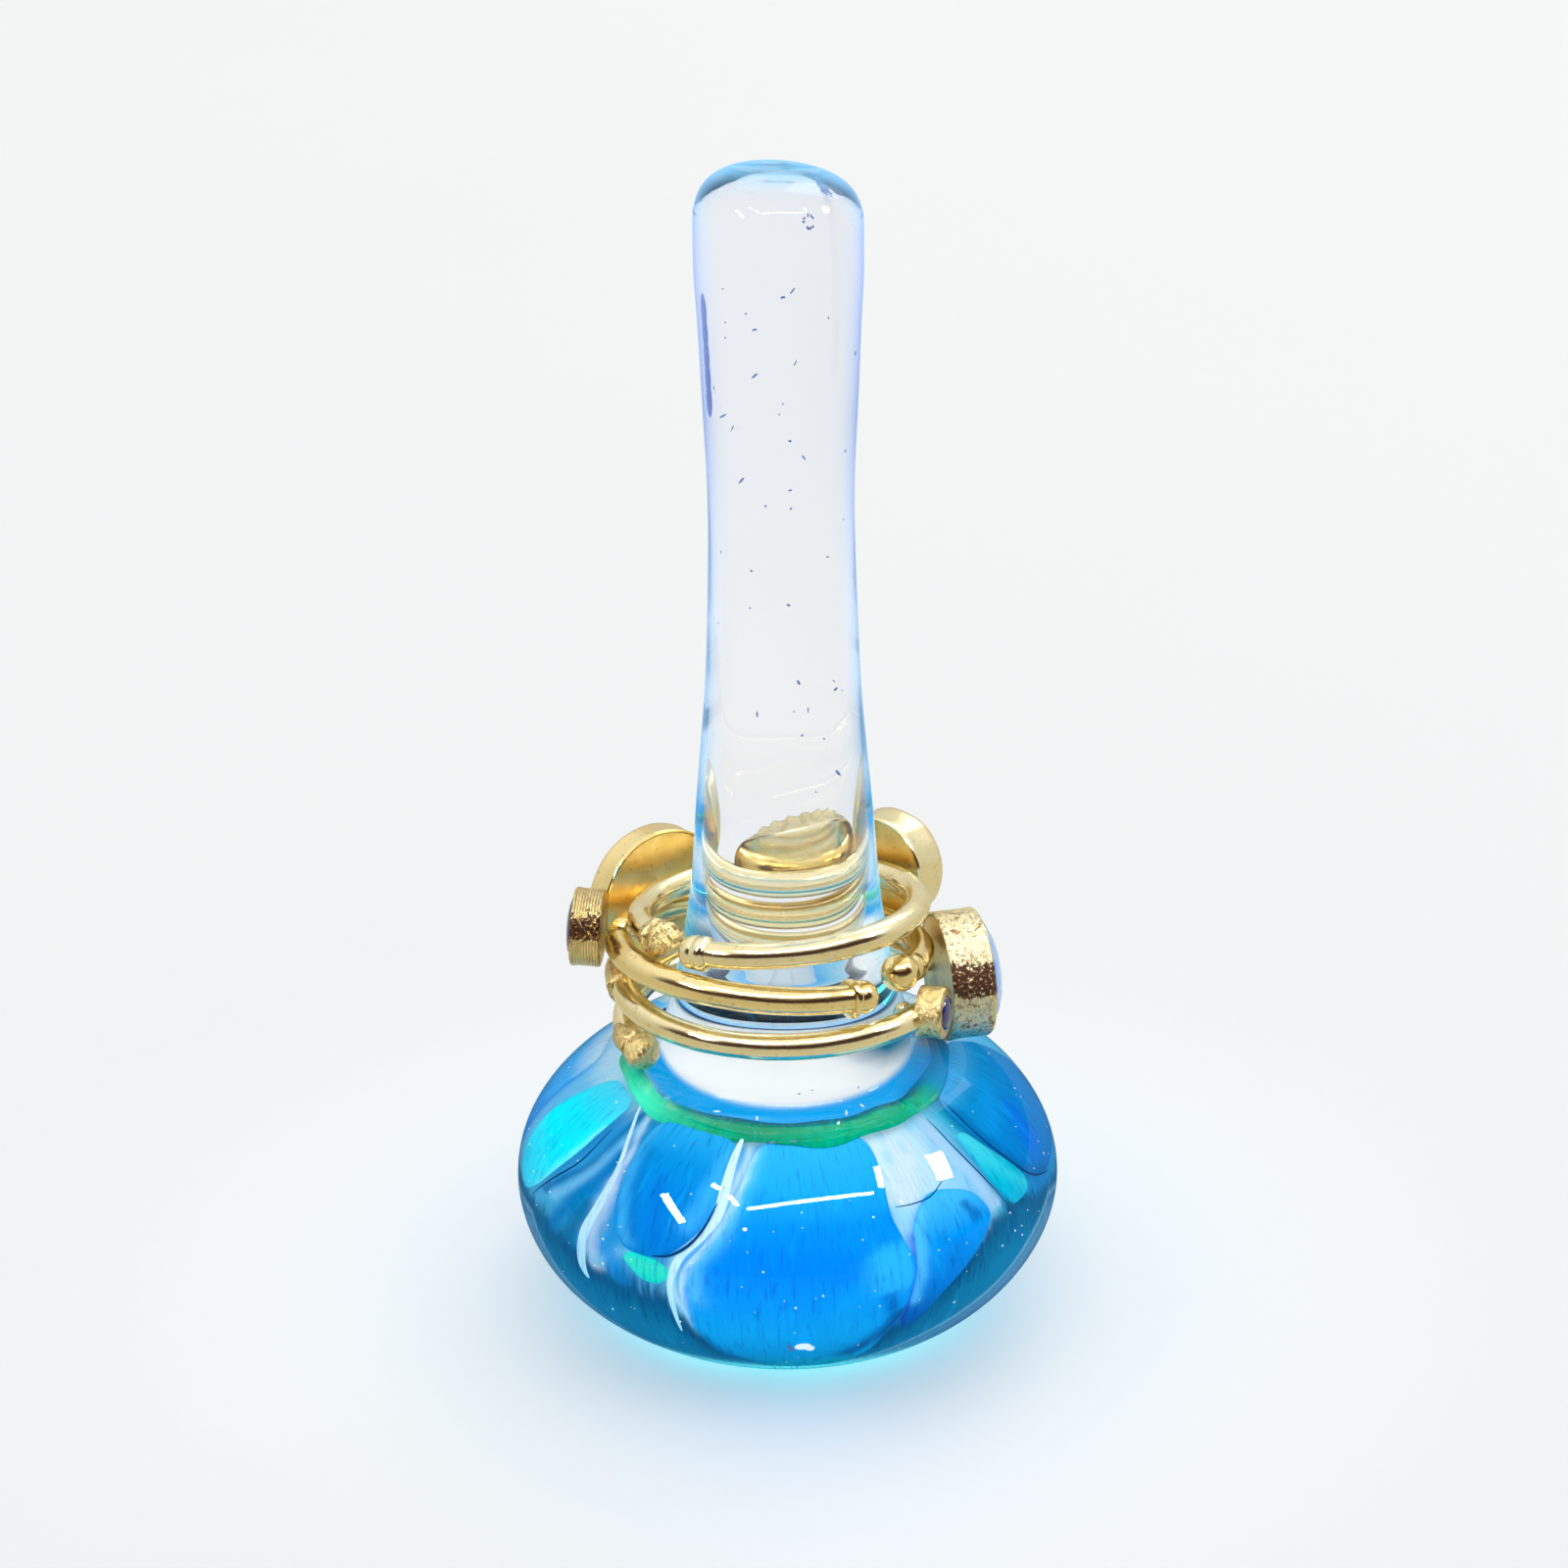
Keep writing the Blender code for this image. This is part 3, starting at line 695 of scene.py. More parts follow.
def around(azimuth, knots):
    """A value read smoothly from (azimuth, value) knots given round the whole base."""
    azimuth = np.asarray(azimuth, float) % 360
    ordered = sorted(((place % 360, value) for place, value in knots), key=lambda knot: knot[0])
    places = [ordered[-1][0] - 360] + [place for place, _ in ordered] + [ordered[0][0] + 360]
    values = np.array([ordered[-1][1]] + [value for _, value in ordered] + [ordered[0][1]], float)
    if values.ndim == 1:
        return np.interp(azimuth, places, values)
    return np.stack([np.interp(azimuth, places, values[:, k]) for k in range(values.shape[1])], axis=-1)


def apart(azimuths, centre):
    """Signed degrees round the base from a centre azimuth."""
    return (azimuths - centre + 180) % 360 - 180


def hump(azimuths, centre, wide):
    """1 at the centre azimuth, falling smoothly to 0 on both sides."""
    return np.exp(-((apart(azimuths, centre) / wide) ** 2))


def step_down(value, soft):
    """1 well below zero, 0 well above it."""
    return 1 / (1 + np.exp(np.clip(value / soft, -40, 40)))


def painted(tint, count):
    return np.tile(np.array(rgb(*tint)), (count, 1))


def lay(colours, tint, share):
    """Blend a tint into rows of colours by a share for each row."""
    share = np.asarray(share)[:, None]
    return colours * (1 - share) + np.array(rgb(*tint)) * share


# A degree of azimuth on the petals, in degrees of latitude.
AZIMUTH_DEGREE = 0.85


def lay_strokes(colours, azimuths, latitudes, strokes, wobble):
    for path, width, soft, tint, strength in strokes:
        start = path[0][0]
        across = apart(azimuths, start)
        near = np.full(len(azimuths), 1e9)
        count = (len(path) - 1) * 5
        points = [smooth_row(path, k / count) for k in range(count + 1)]
        for (a, b), (c, d) in zip(points, points[1:]):
            along = np.array(((c - a) * AZIMUTH_DEGREE, d - b))
            reach = np.stack(((across - (a - start)) * AZIMUTH_DEGREE, latitudes - b))
            t = np.clip((along @ reach) / max(1e-9, along @ along), 0, 1)
            near = np.minimum(near, np.hypot(reach[0] - t * along[0], reach[1] - t * along[1]))
        colours = lay(colours, tint, strength * step_down(near - width + wobble * (0.3 + 0.35 * width), soft * 0.6))
    return colours


def wobble_at(azimuths, latitudes, seed):
    """Irregularity of hand-pulled glass, drawn out along the petals."""
    return np.array([
        noise.noise(Vector((a * 0.45, b * 0.16, seed))) + 0.5 * noise.noise(Vector((a * 1.3, b * 0.3, seed)))
        for a, b in zip(azimuths, latitudes)])


def write_paint(mesh, colours, glow, streaks):
    """Store the painted colour, its glow and how strongly fine strokes show in it."""
    paint = mesh.color_attributes.new("paint", "FLOAT_COLOR", "POINT")
    paint.data.foreach_set("color", np.clip(colours, 0, 4).ravel())
    write_vectors(mesh, "finish", [(g, k, 0.0) for g, k in zip(glow, streaks)])


# ---------------------------------------------------------------- petals and gather


def petal_grid(rows):
    """Rows of (azimuth, latitude, across, along) over a petal, with rounded corners."""
    across_steps, along_steps = 40, 56
    grid = []
    for j in range(along_steps + 1):
        v = -math.cos(math.pi * j / along_steps)
        latitude, left, right = smooth_row(rows, (v + 1) / 2)
        narrow = max(0.0, 1 - abs(v) ** 12) ** (1 / 3)
        row = []
        for i in range(across_steps + 1):
            u = -math.cos(math.pi * i / across_steps)
            row.append(((left + right) / 2 + u * narrow * (right - left) / 2, latitude, u, v))
        grid.append(row)
    return grid


def petal_mesh(name, rows, depth, body):
    """A lens of glass laid on the spheroid: full in the middle, thin at its rim."""
    grid = petal_grid(rows)
    azimuths = np.array([place[0] for row in grid for place in row])
    latitudes = np.array([place[1] for row in grid for place in row])
    levels, tints = zip(*PETAL_TONES[name])
    channels = zip(*(rgb(*tint) for tint in tints))
    colours = np.stack([np.interp(latitudes, levels, channel) for channel in channels], axis=-1)
    wobble = wobble_at(azimuths, latitudes, len(name))
    colours = lay_strokes(colours, azimuths, latitudes, PETAL_STROKES.get(name, []), wobble)
    bm = bmesh.new()
    layer = bm.verts.layers.float_vector.new("petal")
    paint = bm.verts.layers.float_color.new("paint")
    for side in (1, -1):
        sheet = []
        for j, row in enumerate(grid):
            line = []
            for i, (azimuth, latitude, u, v) in enumerate(row):
                full = max(0.0, (1 - u**8) * (1 - v**8)) ** 0.5
                vert = bm.verts.new(spheroid(azimuth, latitude, depth + body / 2 - side * full * body / 2))
                vert[layer] = (azimuth / 10, latitude / 10, len(name))
                vert[paint] = colours[j * len(row) + i]
                line.append(vert)
            sheet.append(line)
        skin(bm, sheet)
    bmesh.ops.remove_doubles(bm, verts=bm.verts, dist=WELD)
    mesh = finish_mesh(name, bm)
    write_vectors(mesh, "finish", [(1.0, PETAL_STREAKS, 0.0)] * len(mesh.vertices))
    return mesh


def build_petals():
    for name, rows in VEIN_ROWS.items():
        mesh = petal_mesh(name, rows, SEAM_DEPTH, 0.12 * MM)
        piece(name, mesh, painted_glass(name + "_colour"), HOLDER_BODY)
    for name, rows in PETAL_ROWS.items():
        lens = name in TOP_LENSES
        mesh = petal_mesh(name, rows, LENS_DEPTH if lens else PETAL_DEPTH, LENS_BODY if lens else PETAL_BODY)
        piece(name + "_glass", mesh, painted_glass(name + "_colour"), HOLDER_BODY, (name,))


# The azimuth of the side away from the camera, and the latitude where the crown begins.
BACK, CROWN_EDGE = 90, 54


def gather_colours(azimuths, latitudes, reach):
    """Colour, glow and stroke strength over the gather. reach is 1 at the crown's rim."""
    wobble = wobble_at(azimuths, latitudes, 3.0)
    back = step_down(np.abs(apart(azimuths, BACK)) - 78, 3.0)
    jag = np.array([
        noise.noise(Vector((a * 1.1, 0.0, 5.0))) + 0.6 * noise.noise(Vector((a * 3.1, 0.0, 6.0)))
        for a in azimuths])
    left = hump(azimuths, 234, 12)
    edge = around(azimuths, DARK_EDGE) + jag * (1.5 + 5.0 * left) + 2.0 * wobble
    dark = step_down(latitudes - edge, 0.9 + 0.8 * left)
    deep = step_down(latitudes - edge + 10, 4.0)
    below_casing = latitudes - around(azimuths, CASING_EDGE)
    colours = around(azimuths, [(azimuth, rgb(*tint)) for azimuth, tint in GATHER_TONES])
    for tint, share in (
        ((196, 226, 242), back * step_down(42 - latitudes, 2.0) * 0.9),
        ((2, 86, 130), dark),
        ((2, 70, 122), dark * (1 - deep) * left * 0.8),
        ((8, 148, 198), dark * deep * 0.75),
        # Painted light of the casing's rim: a pale line along the edge and slate blue below it.
        ((150, 212, 232), np.exp(-((below_casing / 1.1) ** 2)) * 0.7),
        ((112, 168, 208), step_down(below_casing + 2, 0.8) * 0.85),
        # Cyan round the bottom, given a strong painted glow below that lights the floor at the foot.
        ((96, 222, 228), step_down(latitudes + 42, 1.5)),
    ):
        colours = lay(colours, tint, share)
    side = reach >= 1
    colours[side] = lay_strokes(colours[side], azimuths[side], latitudes[side], GATHER_STROKES, wobble[side])
    # The crown: white where the post stands, clouding to azure towards the green band; it gets extra painted glow
    # below.
    inward = (latitudes - CROWN_EDGE) / 9 * 2.2 + (1 - reach) * 7.4
    cloud = np.clip((3.8 - inward) / 1.9, 0, 1)
    cloud = cloud * cloud * (3 - 2 * cloud) * (1 - back)
    above = step_down(CROWN_EDGE - latitudes, 0.5)
    sky = lay(painted((247, 248, 247), len(reach)), (6, 160, 232), cloud)
    colours = colours * (1 - above[:, None]) + sky * above[:, None]
    # Dark teal on the crown's back right; on the far side from latitude 49 to 60, dark navy as painted shade.
    colours = lay(colours, (0, 96, 124), hump(azimuths, 40, 42) * above * np.clip((7.0 - inward) / 2, 0, 1))
    colours = lay(colours, (10, 52, 82), back * step_down(49 - latitudes, 0.6) * step_down(latitudes - 60, 1.0))
    # Painted glow: more on the crown, strongest round the bottom where its cyan lights the floor at the foot, less
    # where the glass is dark.
    glow = 0.75 + 0.5 * above + 4.0 * step_down(latitudes + 43, 1.5) - 0.4 * dark + 0.3 * dark * deep
    streaks = 0.15 + 0.75 * dark * step_down(edge - 14 - latitudes, 3.0)
    return colours, glow, streaks * (1 - above)


def build_gather():
    """The pale gather under the petals, level on top where the post joins it."""
    turns, levels, rings, low, high = 480, 150, 16, -54.0, 63.0
    rows = [(low + (high - low) * j / levels, 1.0) for j in range(levels + 1)]
    rows += [(high, 1 - k / rings) for k in range(1, rings)]
    azimuths = np.tile(np.arange(turns) * 360 / turns, len(rows))
    latitudes = np.repeat([latitude for latitude, _ in rows], turns)
    reach = np.repeat([share for _, share in rows], turns)
    colours, glow, streaks = gather_colours(azimuths, latitudes, reach)
    points = []
    for azimuth, latitude, share in zip(azimuths, latitudes, reach):
        point = spheroid(azimuth, latitude, CORE_DEPTH)
        points.append(Vector((point.x * share, point.y * share, max(GATHER_FOOT, point.z))))
    mesh = sheet_mesh("pale_gather", in_rows(points, turns), caps=True)
    write_vectors(mesh, "petal", np.stack((azimuths / 10, latitudes / 10, azimuths * 0), axis=-1))
    write_paint(mesh, colours, glow, streaks)
    piece("pale_gather", mesh, painted_glass("pale_gather_colour"), HOLDER_BODY, ("base_core",))


def build_green_band():
    """The trailed green band round the foot of the post, uneven in width."""
    turns, section = 240, 16
    places, points = [], []
    for k in range(turns):
        azimuth = 360 * k / turns
        turn = math.tau * k / turns
        uneven = noise.noise(Vector((math.cos(turn), math.sin(turn), 0.0)) * 2.3)
        thick = noise.noise(Vector((math.cos(turn), math.sin(turn), 4.0)) * 3.1)
        middle = 52.4 + 0.9 * uneven - hump(azimuth, 216, 14)
        half = 3.3 + 1.5 * thick - 1.6 * max(0.0, math.sin(turn)) + 0.8 * hump(azimuth, 268, 20)
        for s in range(section):
            angle = math.tau * s / section
            latitude = middle + half * math.cos(angle)
            points.append(spheroid(azimuth, latitude, BAND_DEPTH - 0.4 * MM * math.sin(angle)))
            places.append((azimuth, math.cos(angle)))
    mesh = sheet_mesh("green_collar_band_glass", in_rows(points, section), closed=True)
    azimuths, across = np.array(places).T
    wobble = wobble_at(azimuths, across * 6, 9.0)
    light = hump(azimuths, 209, 17)
    back = step_down(np.abs(apart(azimuths, BACK)) - 84, 4.0)
    colours = painted((0, 158, 108), len(places))
    for tint, share in (
        ((2, 200, 152), np.clip(0.5 + wobble, 0, 1) * 0.6),
        ((64, 244, 192), light),
        ((2, 140, 84), hump(azimuths, 262, 16) * 0.6),
        ((2, 84, 130), step_down(0.55 - across, 0.08) * 0.85 * (1 - light)),
        ((6, 138, 204), step_down(np.abs(apart(azimuths, 358)) - 24, 3.0) * 0.92),
        # Painted shade: the far side of the band is dark navy.
        ((8, 44, 66), back),
        ((4, 120, 140), hump(azimuths, 40, 14) * 0.8),
    ):
        colours = lay(colours, tint, share)
    write_vectors(mesh, "petal", np.stack((azimuths / 3, across, azimuths * 0), axis=-1))
    # Painted glow, less on the far side as painted shade.
    write_paint(mesh, colours, 0.9 - 0.5 * back, 0.2 + azimuths * 0)
    piece("green_collar_band_glass", mesh, painted_glass("green_band_colour"), HOLDER_BODY,
          ("green_collar_band",))


# ---------------------------------------------------------------- specks and seams


def add_speck(bm, centre, size, axes):
    """A small rounded speck, its half sizes in mm along its own axes."""
    made = bmesh.ops.create_icosphere(bm, subdivisions=2, radius=1.0)
    shape = Matrix.Translation(centre) @ axes.to_4x4() @ Matrix.Diagonal((*(part * MM for part in size), 1))
    bmesh.ops.transform(bm, matrix=shape, verts=made["verts"])


def skin_axes(azimuth, latitude, spin=0.0):
    """Axes in the base's skin, X going round it and Z out of it, spun about Z."""
    turn, tilt = math.radians(azimuth), math.radians(latitude)
    across = Vector((-math.sin(turn), math.cos(turn), 0))
    out = polar(math.cos(tilt) / BASE_RADIUS, turn, math.sin(tilt) / BASE_HALF_HEIGHT).normalized()
    axes = Matrix((across, out.cross(across), out)).transposed()
    return axes @ Matrix.Rotation(math.radians(spin), 3, "Z")


def post_radius(height):
    levels = sorted((z, radius) for radius, z in post_levels())
    return float(np.interp(height, [z for z, _ in levels], [radius for _, radius in levels]))


SCATTER_SEED, BUBBLE_COUNT, SEED_COUNT = 11, 190, 48
# The knot of seeds under the cap, and the long dark mark down the post's left side (mm).
CLUSTER_COUNT, CLUSTER_PLACE = 9, Vector((1.6, -2.4, 78.8)) * MM
LONG_MARK_HEIGHTS, LONG_MARK_TURN = (67.0, 68.5, 70.0, 71.5, 73.0), math.radians(203)
# White flakes: azimuth, latitude, half length and half width in mm, and spin.
FLAKES = [
    (241, 57, 0.26, 0.08, 20), (258, 57, 0.22, 0.07, 100), (294, 57, 0.26, 0.06, 70), (289, 54, 0.18, 0.09, 60),
    (302, 58, 0.20, 0.06, 110), (273, -21, 0.58, 0.40, 8), (274.6, -22.2, 0.32, 0.36, 20), (298, 28, 0.13, 0.13, 0),
    (260, 24, 0.16, 0.12, 0)]
# Dark marks by the green band, in the white foot, and the arc by the lowest flake.
DARK_FLECKS = [
    (265, 49.5, 0.22, 0.07, 5), (272, 50, 0.24, 0.07, -5), (270.2, -21.8, 0.14, 0.50, 20), (276, 66, 0.14, 0.07, 40),
    (283, 67, 0.10, 0.06, 0), (306, 64, 0.16, 0.05, 80), (240, 46, 0.12, 0.05, 30)]
# Dark threads where one petal was melted over the next: (azimuth, latitude) path and half width in mm.
SEAMS = [
    ([(252.6, 31), (250.5, 23), (247.5, 16.5), (243.5, 12), (239.5, 10.5)], 0.09),
    ([(311, 30), (306, 27), (301, 26.5), (296, 27)], 0.035),
    ([(319, 47), (320, 36), (322.5, 25), (326, 13)], 0.05),
    ([(330, 48), (329.5, 38), (332.5, 26), (339, 14), (348, 8)], 0.08),
    ([(198, 6), (204.5, 17), (210.5, 28), (212, 40)], 0.06)]


def build_specks():
    """Bubbles and flakes over the petals, and dark seeds drawn up the post."""
    chance = random.Random(SCATTER_SEED)
    bubbles, seeds = bmesh.new(), bmesh.new()
    for _ in range(BUBBLE_COUNT):
        azimuth, latitude = chance.uniform(0, 360), chance.triangular(-44, 50, 12)
        size = [chance.choice((0.03, 0.04, 0.05, 0.075))] * 3
        add_speck(bubbles, spheroid(azimuth, latitude, chance.uniform(0.5, 1.0) * MM), size, Matrix.Identity(3))
    for bm, flecks, depth, thick in ((bubbles, FLAKES, 1.05, 0.05), (seeds, DARK_FLECKS, 1.0, 0.04)):
        for azimuth, latitude, length, width, spin in flecks:
            centre = spheroid(azimuth, latitude, depth * MM)
            add_speck(bm, centre, (length, width, thick), skin_axes(azimuth, latitude, spin))
    for _ in range(SEED_COUNT):
        height = chance.triangular(28, 79, 72) * MM
        reach = post_radius(height) * 0.8 * math.sqrt(chance.random())
        turn = chance.uniform(0, math.tau)
        long = chance.random() < 0.35
        size = (0.04, 0.035, chance.uniform(0.12, 0.28)) if long else (0.05, 0.04, chance.uniform(0.05, 0.10))
        tilt = Euler((chance.uniform(-0.5, 0.5), chance.uniform(-0.5, 0.5), 0)).to_matrix()
        add_speck(seeds, polar(reach, turn, height), size, tilt)
    for _ in range(CLUSTER_COUNT):
        turn = chance.uniform(0, math.tau)
        offset = Vector((math.cos(turn), 0.4, math.sin(turn))) * 0.3 * MM
        add_speck(seeds, CLUSTER_PLACE + offset, (0.10, 0.05, 0.05), Euler((0, turn, 0)).to_matrix())
    for height in LONG_MARK_HEIGHTS:
        centre = polar(post_radius(height * MM) - 0.5 * MM, LONG_MARK_TURN, height * MM)
        add_speck(seeds, centre, (0.08, 0.42, 1.25), Matrix.Rotation(LONG_MARK_TURN, 3, "Z"))
    for name, bm, finish in (
        ("bubbles_and_flakes", bubbles, plain_inclusion("bubble_white", rgb(236, 250, 254), 0.7)),
        ("dark_seeds", seeds, plain_inclusion("seed_slate", rgb(112, 130, 178), 0.25)),
    ):
        piece(name, finish_mesh(name, bm), finish, HOLDER_BODY)


def build_seams():
    """Threads of dark glass, round in section and drawn to a point at both ends."""
    bm = bmesh.new()
    count, depth = 40, 1.0 * MM
    for path, half in SEAMS:
        rows = []
        for k in range(count + 1):
            azimuth, latitude = smooth_row(path, k / count)
            ahead = spheroid(*smooth_row(path, min(1.0, (k + 0.5) / count)), depth)
            behind = spheroid(*smooth_row(path, max(0.0, (k - 0.5) / count)), depth)
            out = skin_axes(azimuth, latitude).col[2]
            across = (ahead - behind).normalized().cross(out).normalized()
            centre = spheroid(azimuth, latitude, depth)
            thin = (0.015 + half * math.sin(math.pi * k / count) ** 0.6) * MM
            rows.append([bm.verts.new(centre + (across * math.cos(turn) + out * 0.5 * math.sin(turn)) * thin)
                         for turn in circle(8)])
        skin(bm, rows, around=True, caps=True)
    mesh = finish_mesh("seams", bm)
    piece("dark_seams", mesh, plain_inclusion("seam_blue", rgb(2, 72, 128), 0.15), HOLDER_BODY)


# ---------------------------------------------------------------- rings


class RingFrame:
    """A ring's own tilted frame on the post, in metres."""

    def __init__(self, name):
        height, shift, tilt, radius, wire, climb, self.middle = RINGS[name]
        self.name = name
        self.shift, self.radius, self.wire, self.climb = (size * MM for size in (shift, radius, wire, climb))
        turn = Euler((math.radians(tilt[0]), math.radians(tilt[1]), 0)).to_matrix().to_4x4()
        self.matrix = Matrix.Translation((0, 0, height * MM)) @ turn

    def local(self, angle, reach, rise):
        z = self.climb * (angle - self.middle) / 180 + rise
        return polar(reach, math.radians(angle), z) + Vector((self.shift, 0, 0))

    def point(self, angle):
        """A point on the wire's centre line."""
        return self.matrix @ self.local(angle, self.radius, 0.0)

    def axes(self, angle):
        """Along the wire, outward, and up, at an angle."""
        along = (self.point(angle + 1) - self.point(angle - 1)).normalized()
        outward = self.matrix.to_3x3() @ polar(1.0, math.radians(angle))
        up = outward.cross(along).normalized()
        return along, along.cross(up).normalized(), up


def ring_of(name):
    return next(ring for ring in FRAMES if name.startswith(ring.name))


def gold_piece(name, ending, mesh, ring, finish=None):
    """A metal piece of a ring: the middle ring is of warm gold, the others of pale gold."""
    metal = "warm" if ring.name == "ring_middle" else "pale"
    piece(name + ending, mesh, GOLDS[finish or metal], ring.name, (name,))


def rod_mesh(name, sections, sides, worn):
    """A closed rod of (centre, outward, up, radius, distance along) sections; worn moves
    each point on from its section's centre and its arm."""
    rows, grain = [], []
    for centre, outward, up, radius, along in sections:
        turns = circle(sides)
        rows.append([worn(centre, (outward * math.cos(turn) + up * math.sin(turn)) * radius) for turn in turns])
        grain += [(along / MM, radius * turn / MM, 0.0) for turn in turns]
    mesh = sheet_mesh(name, rows, caps=True)
    write_vectors(mesh, "grain", grain)
    return mesh


def build_wire(name, start, end):
    """A round wire, drawn by hand, that follows its ring."""
    ring = ring_of(name)
    count = round(abs(end - start) / WIRE_STEP)
    sections = []
    for k in range(count + 1):
        angle = start + (end - start) * k / count
        radius = ring.wire * (0.985 + 0.03 * noise.noise(Vector((angle * 0.05, len(name), 0.0))))
        sections.append((ring.point(angle), *ring.axes(angle)[1:], radius, math.radians(angle) * ring.radius))

    def worn(centre, arm):
        return centre + arm * (1 + 0.018 * noise.noise((centre + arm) * 700))

    gold_piece(name, "_wire", rod_mesh(name, sections, WIRE_SIDES, worn), ring)


# Half sections of the necks behind the balls: (distance back, radius), in ball radii.
NECKS = {
    "cap": [(0.30, 1.01), (0.72, 0.99), (0.82, 0.94), (0.86, 0.84), (0.92, 0.80), (1.0, 0.80)],
    "collared": [(0.52, 0.84), (0.58, 0.90), (0.62, 1.08), (0.72, 1.16), (0.86, 1.14), (0.96, 1.0), (1.02, 0.82)],
    "round": [(0.9, 0.80), (1.2, 0.76), (1.6, 0.74)],
    "drop": [(0.5, 0.98), (1.1, 0.90), (1.7, 0.80), (2.3, 0.73)],
    "nugget": [(0.6, 1.0), (1.0, 0.92), (1.35, 0.80), (1.6, 0.74)],
}
ROUGHNESS = {"nugget": 0.20, "drop": 0.13, "cap": 0.025, "collared": 0.012, "round": 0.012}


def ball_profile(kind):
    """(distance back from the ball's centre, radius), in ball radii, from the tip to the neck."""
    turns = [math.radians(90 - k * 7) for k in range(20)]
    ball = [(-math.sin(turn), max(0.02, math.cos(turn))) for turn in turns]
    return [point for point in ball if point[0] < NECKS[kind][0][0]] + NECKS[kind]


def build_ball(name, angle, radius, kind, side):
    """A ball melted on a wire's end, with the neck or collar that joins it."""
    ring = ring_of(name)
    middle = ring.point(angle)
    along, outward, up = ring.axes(angle)
    sections = []
    for distance, reach in ball_profile(kind):
        distance, reach = distance * radius * MM, reach * radius * MM
        sections.append((middle + along * side * distance, outward, up, reach, distance))

    def worn(centre, arm):
        point = centre + arm
        lump = noise.noise(point * 1100) + 0.5 * noise.noise(point * 2300)
        return middle + (point - middle) * (1 + ROUGHNESS[kind] * (lump - 0.2))

    finish = "rough" if kind in ("nugget", "drop") else None
    gold_piece(name, "_bead", rod_mesh(name, sections, BALL_SIDES, worn), ring, finish)


def build_solder(ring, angle, reach, rise, radius):
    """A lumpy nub of solder where a setting meets the wire."""
    name = ring.name + "_solder_bead"
    bm = bmesh.new()
    bmesh.ops.create_icosphere(bm, subdivisions=4, radius=radius * MM * 1.1)
    place = ring.matrix @ ring.local(angle, reach * MM, rise * MM)
    for vert in bm.verts:
        lump = noise.noise((vert.co + place) * 1500) + 0.4 * noise.noise((vert.co + place) * 3600)
        vert.co = vert.co * (1 + 0.22 * lump) + place
    grain = [(vert.co.x / MM, vert.co.y / MM, 0.0) for vert in bm.verts]
    mesh = finish_mesh(name, bm)
    write_vectors(mesh, "grain", grain)
    gold_piece(name, "_nub", mesh, ring)


def facing_matrix(ring, angle, reach, rise, turn):
    """A setting's frame: its Z points outward, where its stone faces."""
    axes = polar(1.0, math.radians(angle + turn)).to_track_quat("Z", "Y").to_matrix().to_4x4()
    return ring.matrix @ Matrix.Translation(ring.local(angle, reach * MM, rise * MM)) @ axes


def turned_mesh(name, profile, matrix, steps=72, uneven=0.0, flutes=0, closed=False):
    """A turned piece from (radius, height) points in mm, with hammer marks or flutes."""
    rows, grain = [], []
    for radius, height in profile:
        row = []
        for turn in circle(steps):
            point = polar(radius * MM, turn, height * MM)
            scale = 1 + uneven * noise.noise(point * 520 + Vector((len(name), 0, 0)))
            if flutes and height > PLATE:
                scale += 0.05 * math.cos(flutes * turn)
            row.append(matrix @ Vector((point.x * scale, point.y * scale, point.z)))
            grain.append((radius * turn, height, 0.0))
        rows.append(row)
    mesh = sheet_mesh(name, rows, caps=not closed, closed=closed)
    write_vectors(mesh, "grain", grain)
    mesh.set_sharp_from_angle(angle=SHARP_ANGLE)
    return mesh


def build_large_setting(ring, angle, reach, diameter, depth, rise, turn):
    """A round back plate, a hammered bezel wall and a faceted dome of moonstone."""
    matrix = facing_matrix(ring, angle, reach, rise, turn)
    radius, base, soft = diameter / 2, PLATE + GAP, 0.12
    inner, face = radius - WALL, radius - 0.22
    plate = [(AXIS, 0.04), (face, 0.04), (face, PLATE), (inner, base), (AXIS, base)]
    name = ring.name + "_back_plate"
    mesh = turned_mesh(name, plate, matrix, uneven=0.004)
    gold_piece(name, "_disc", mesh, ring, "shaded" if ring.name == "ring_bottom" else "satin")
    wall = [(inner, base * 0.9), (face + 0.03, base * 0.9), (face + 0.03, 0.02), (radius - soft * 0.5, 0.0)]
    wall += [(radius - 0.05 * math.sin(math.pi * k / 8), soft * 0.8 + (depth - soft * 2.8) * k / 8) for k in range(9)]
    wall += [(radius - soft, depth - soft * 0.4), (radius - soft * 2, depth), (inner - soft, depth + soft * 0.6),
             (inner - soft * 1.6, depth + soft * 0.2), (inner - soft * 0.4, depth - soft * 2)]
    name = ring.name + "_bezel_wall"
    mesh = turned_mesh(name, wall, matrix, steps=96, uneven=0.016, closed=True)
    gold_piece(name, "_band", mesh, ring, "hammered" if ring.name == "ring_bottom" else None)
    build_moonstone(ring, matrix, inner - 0.1, base, depth)


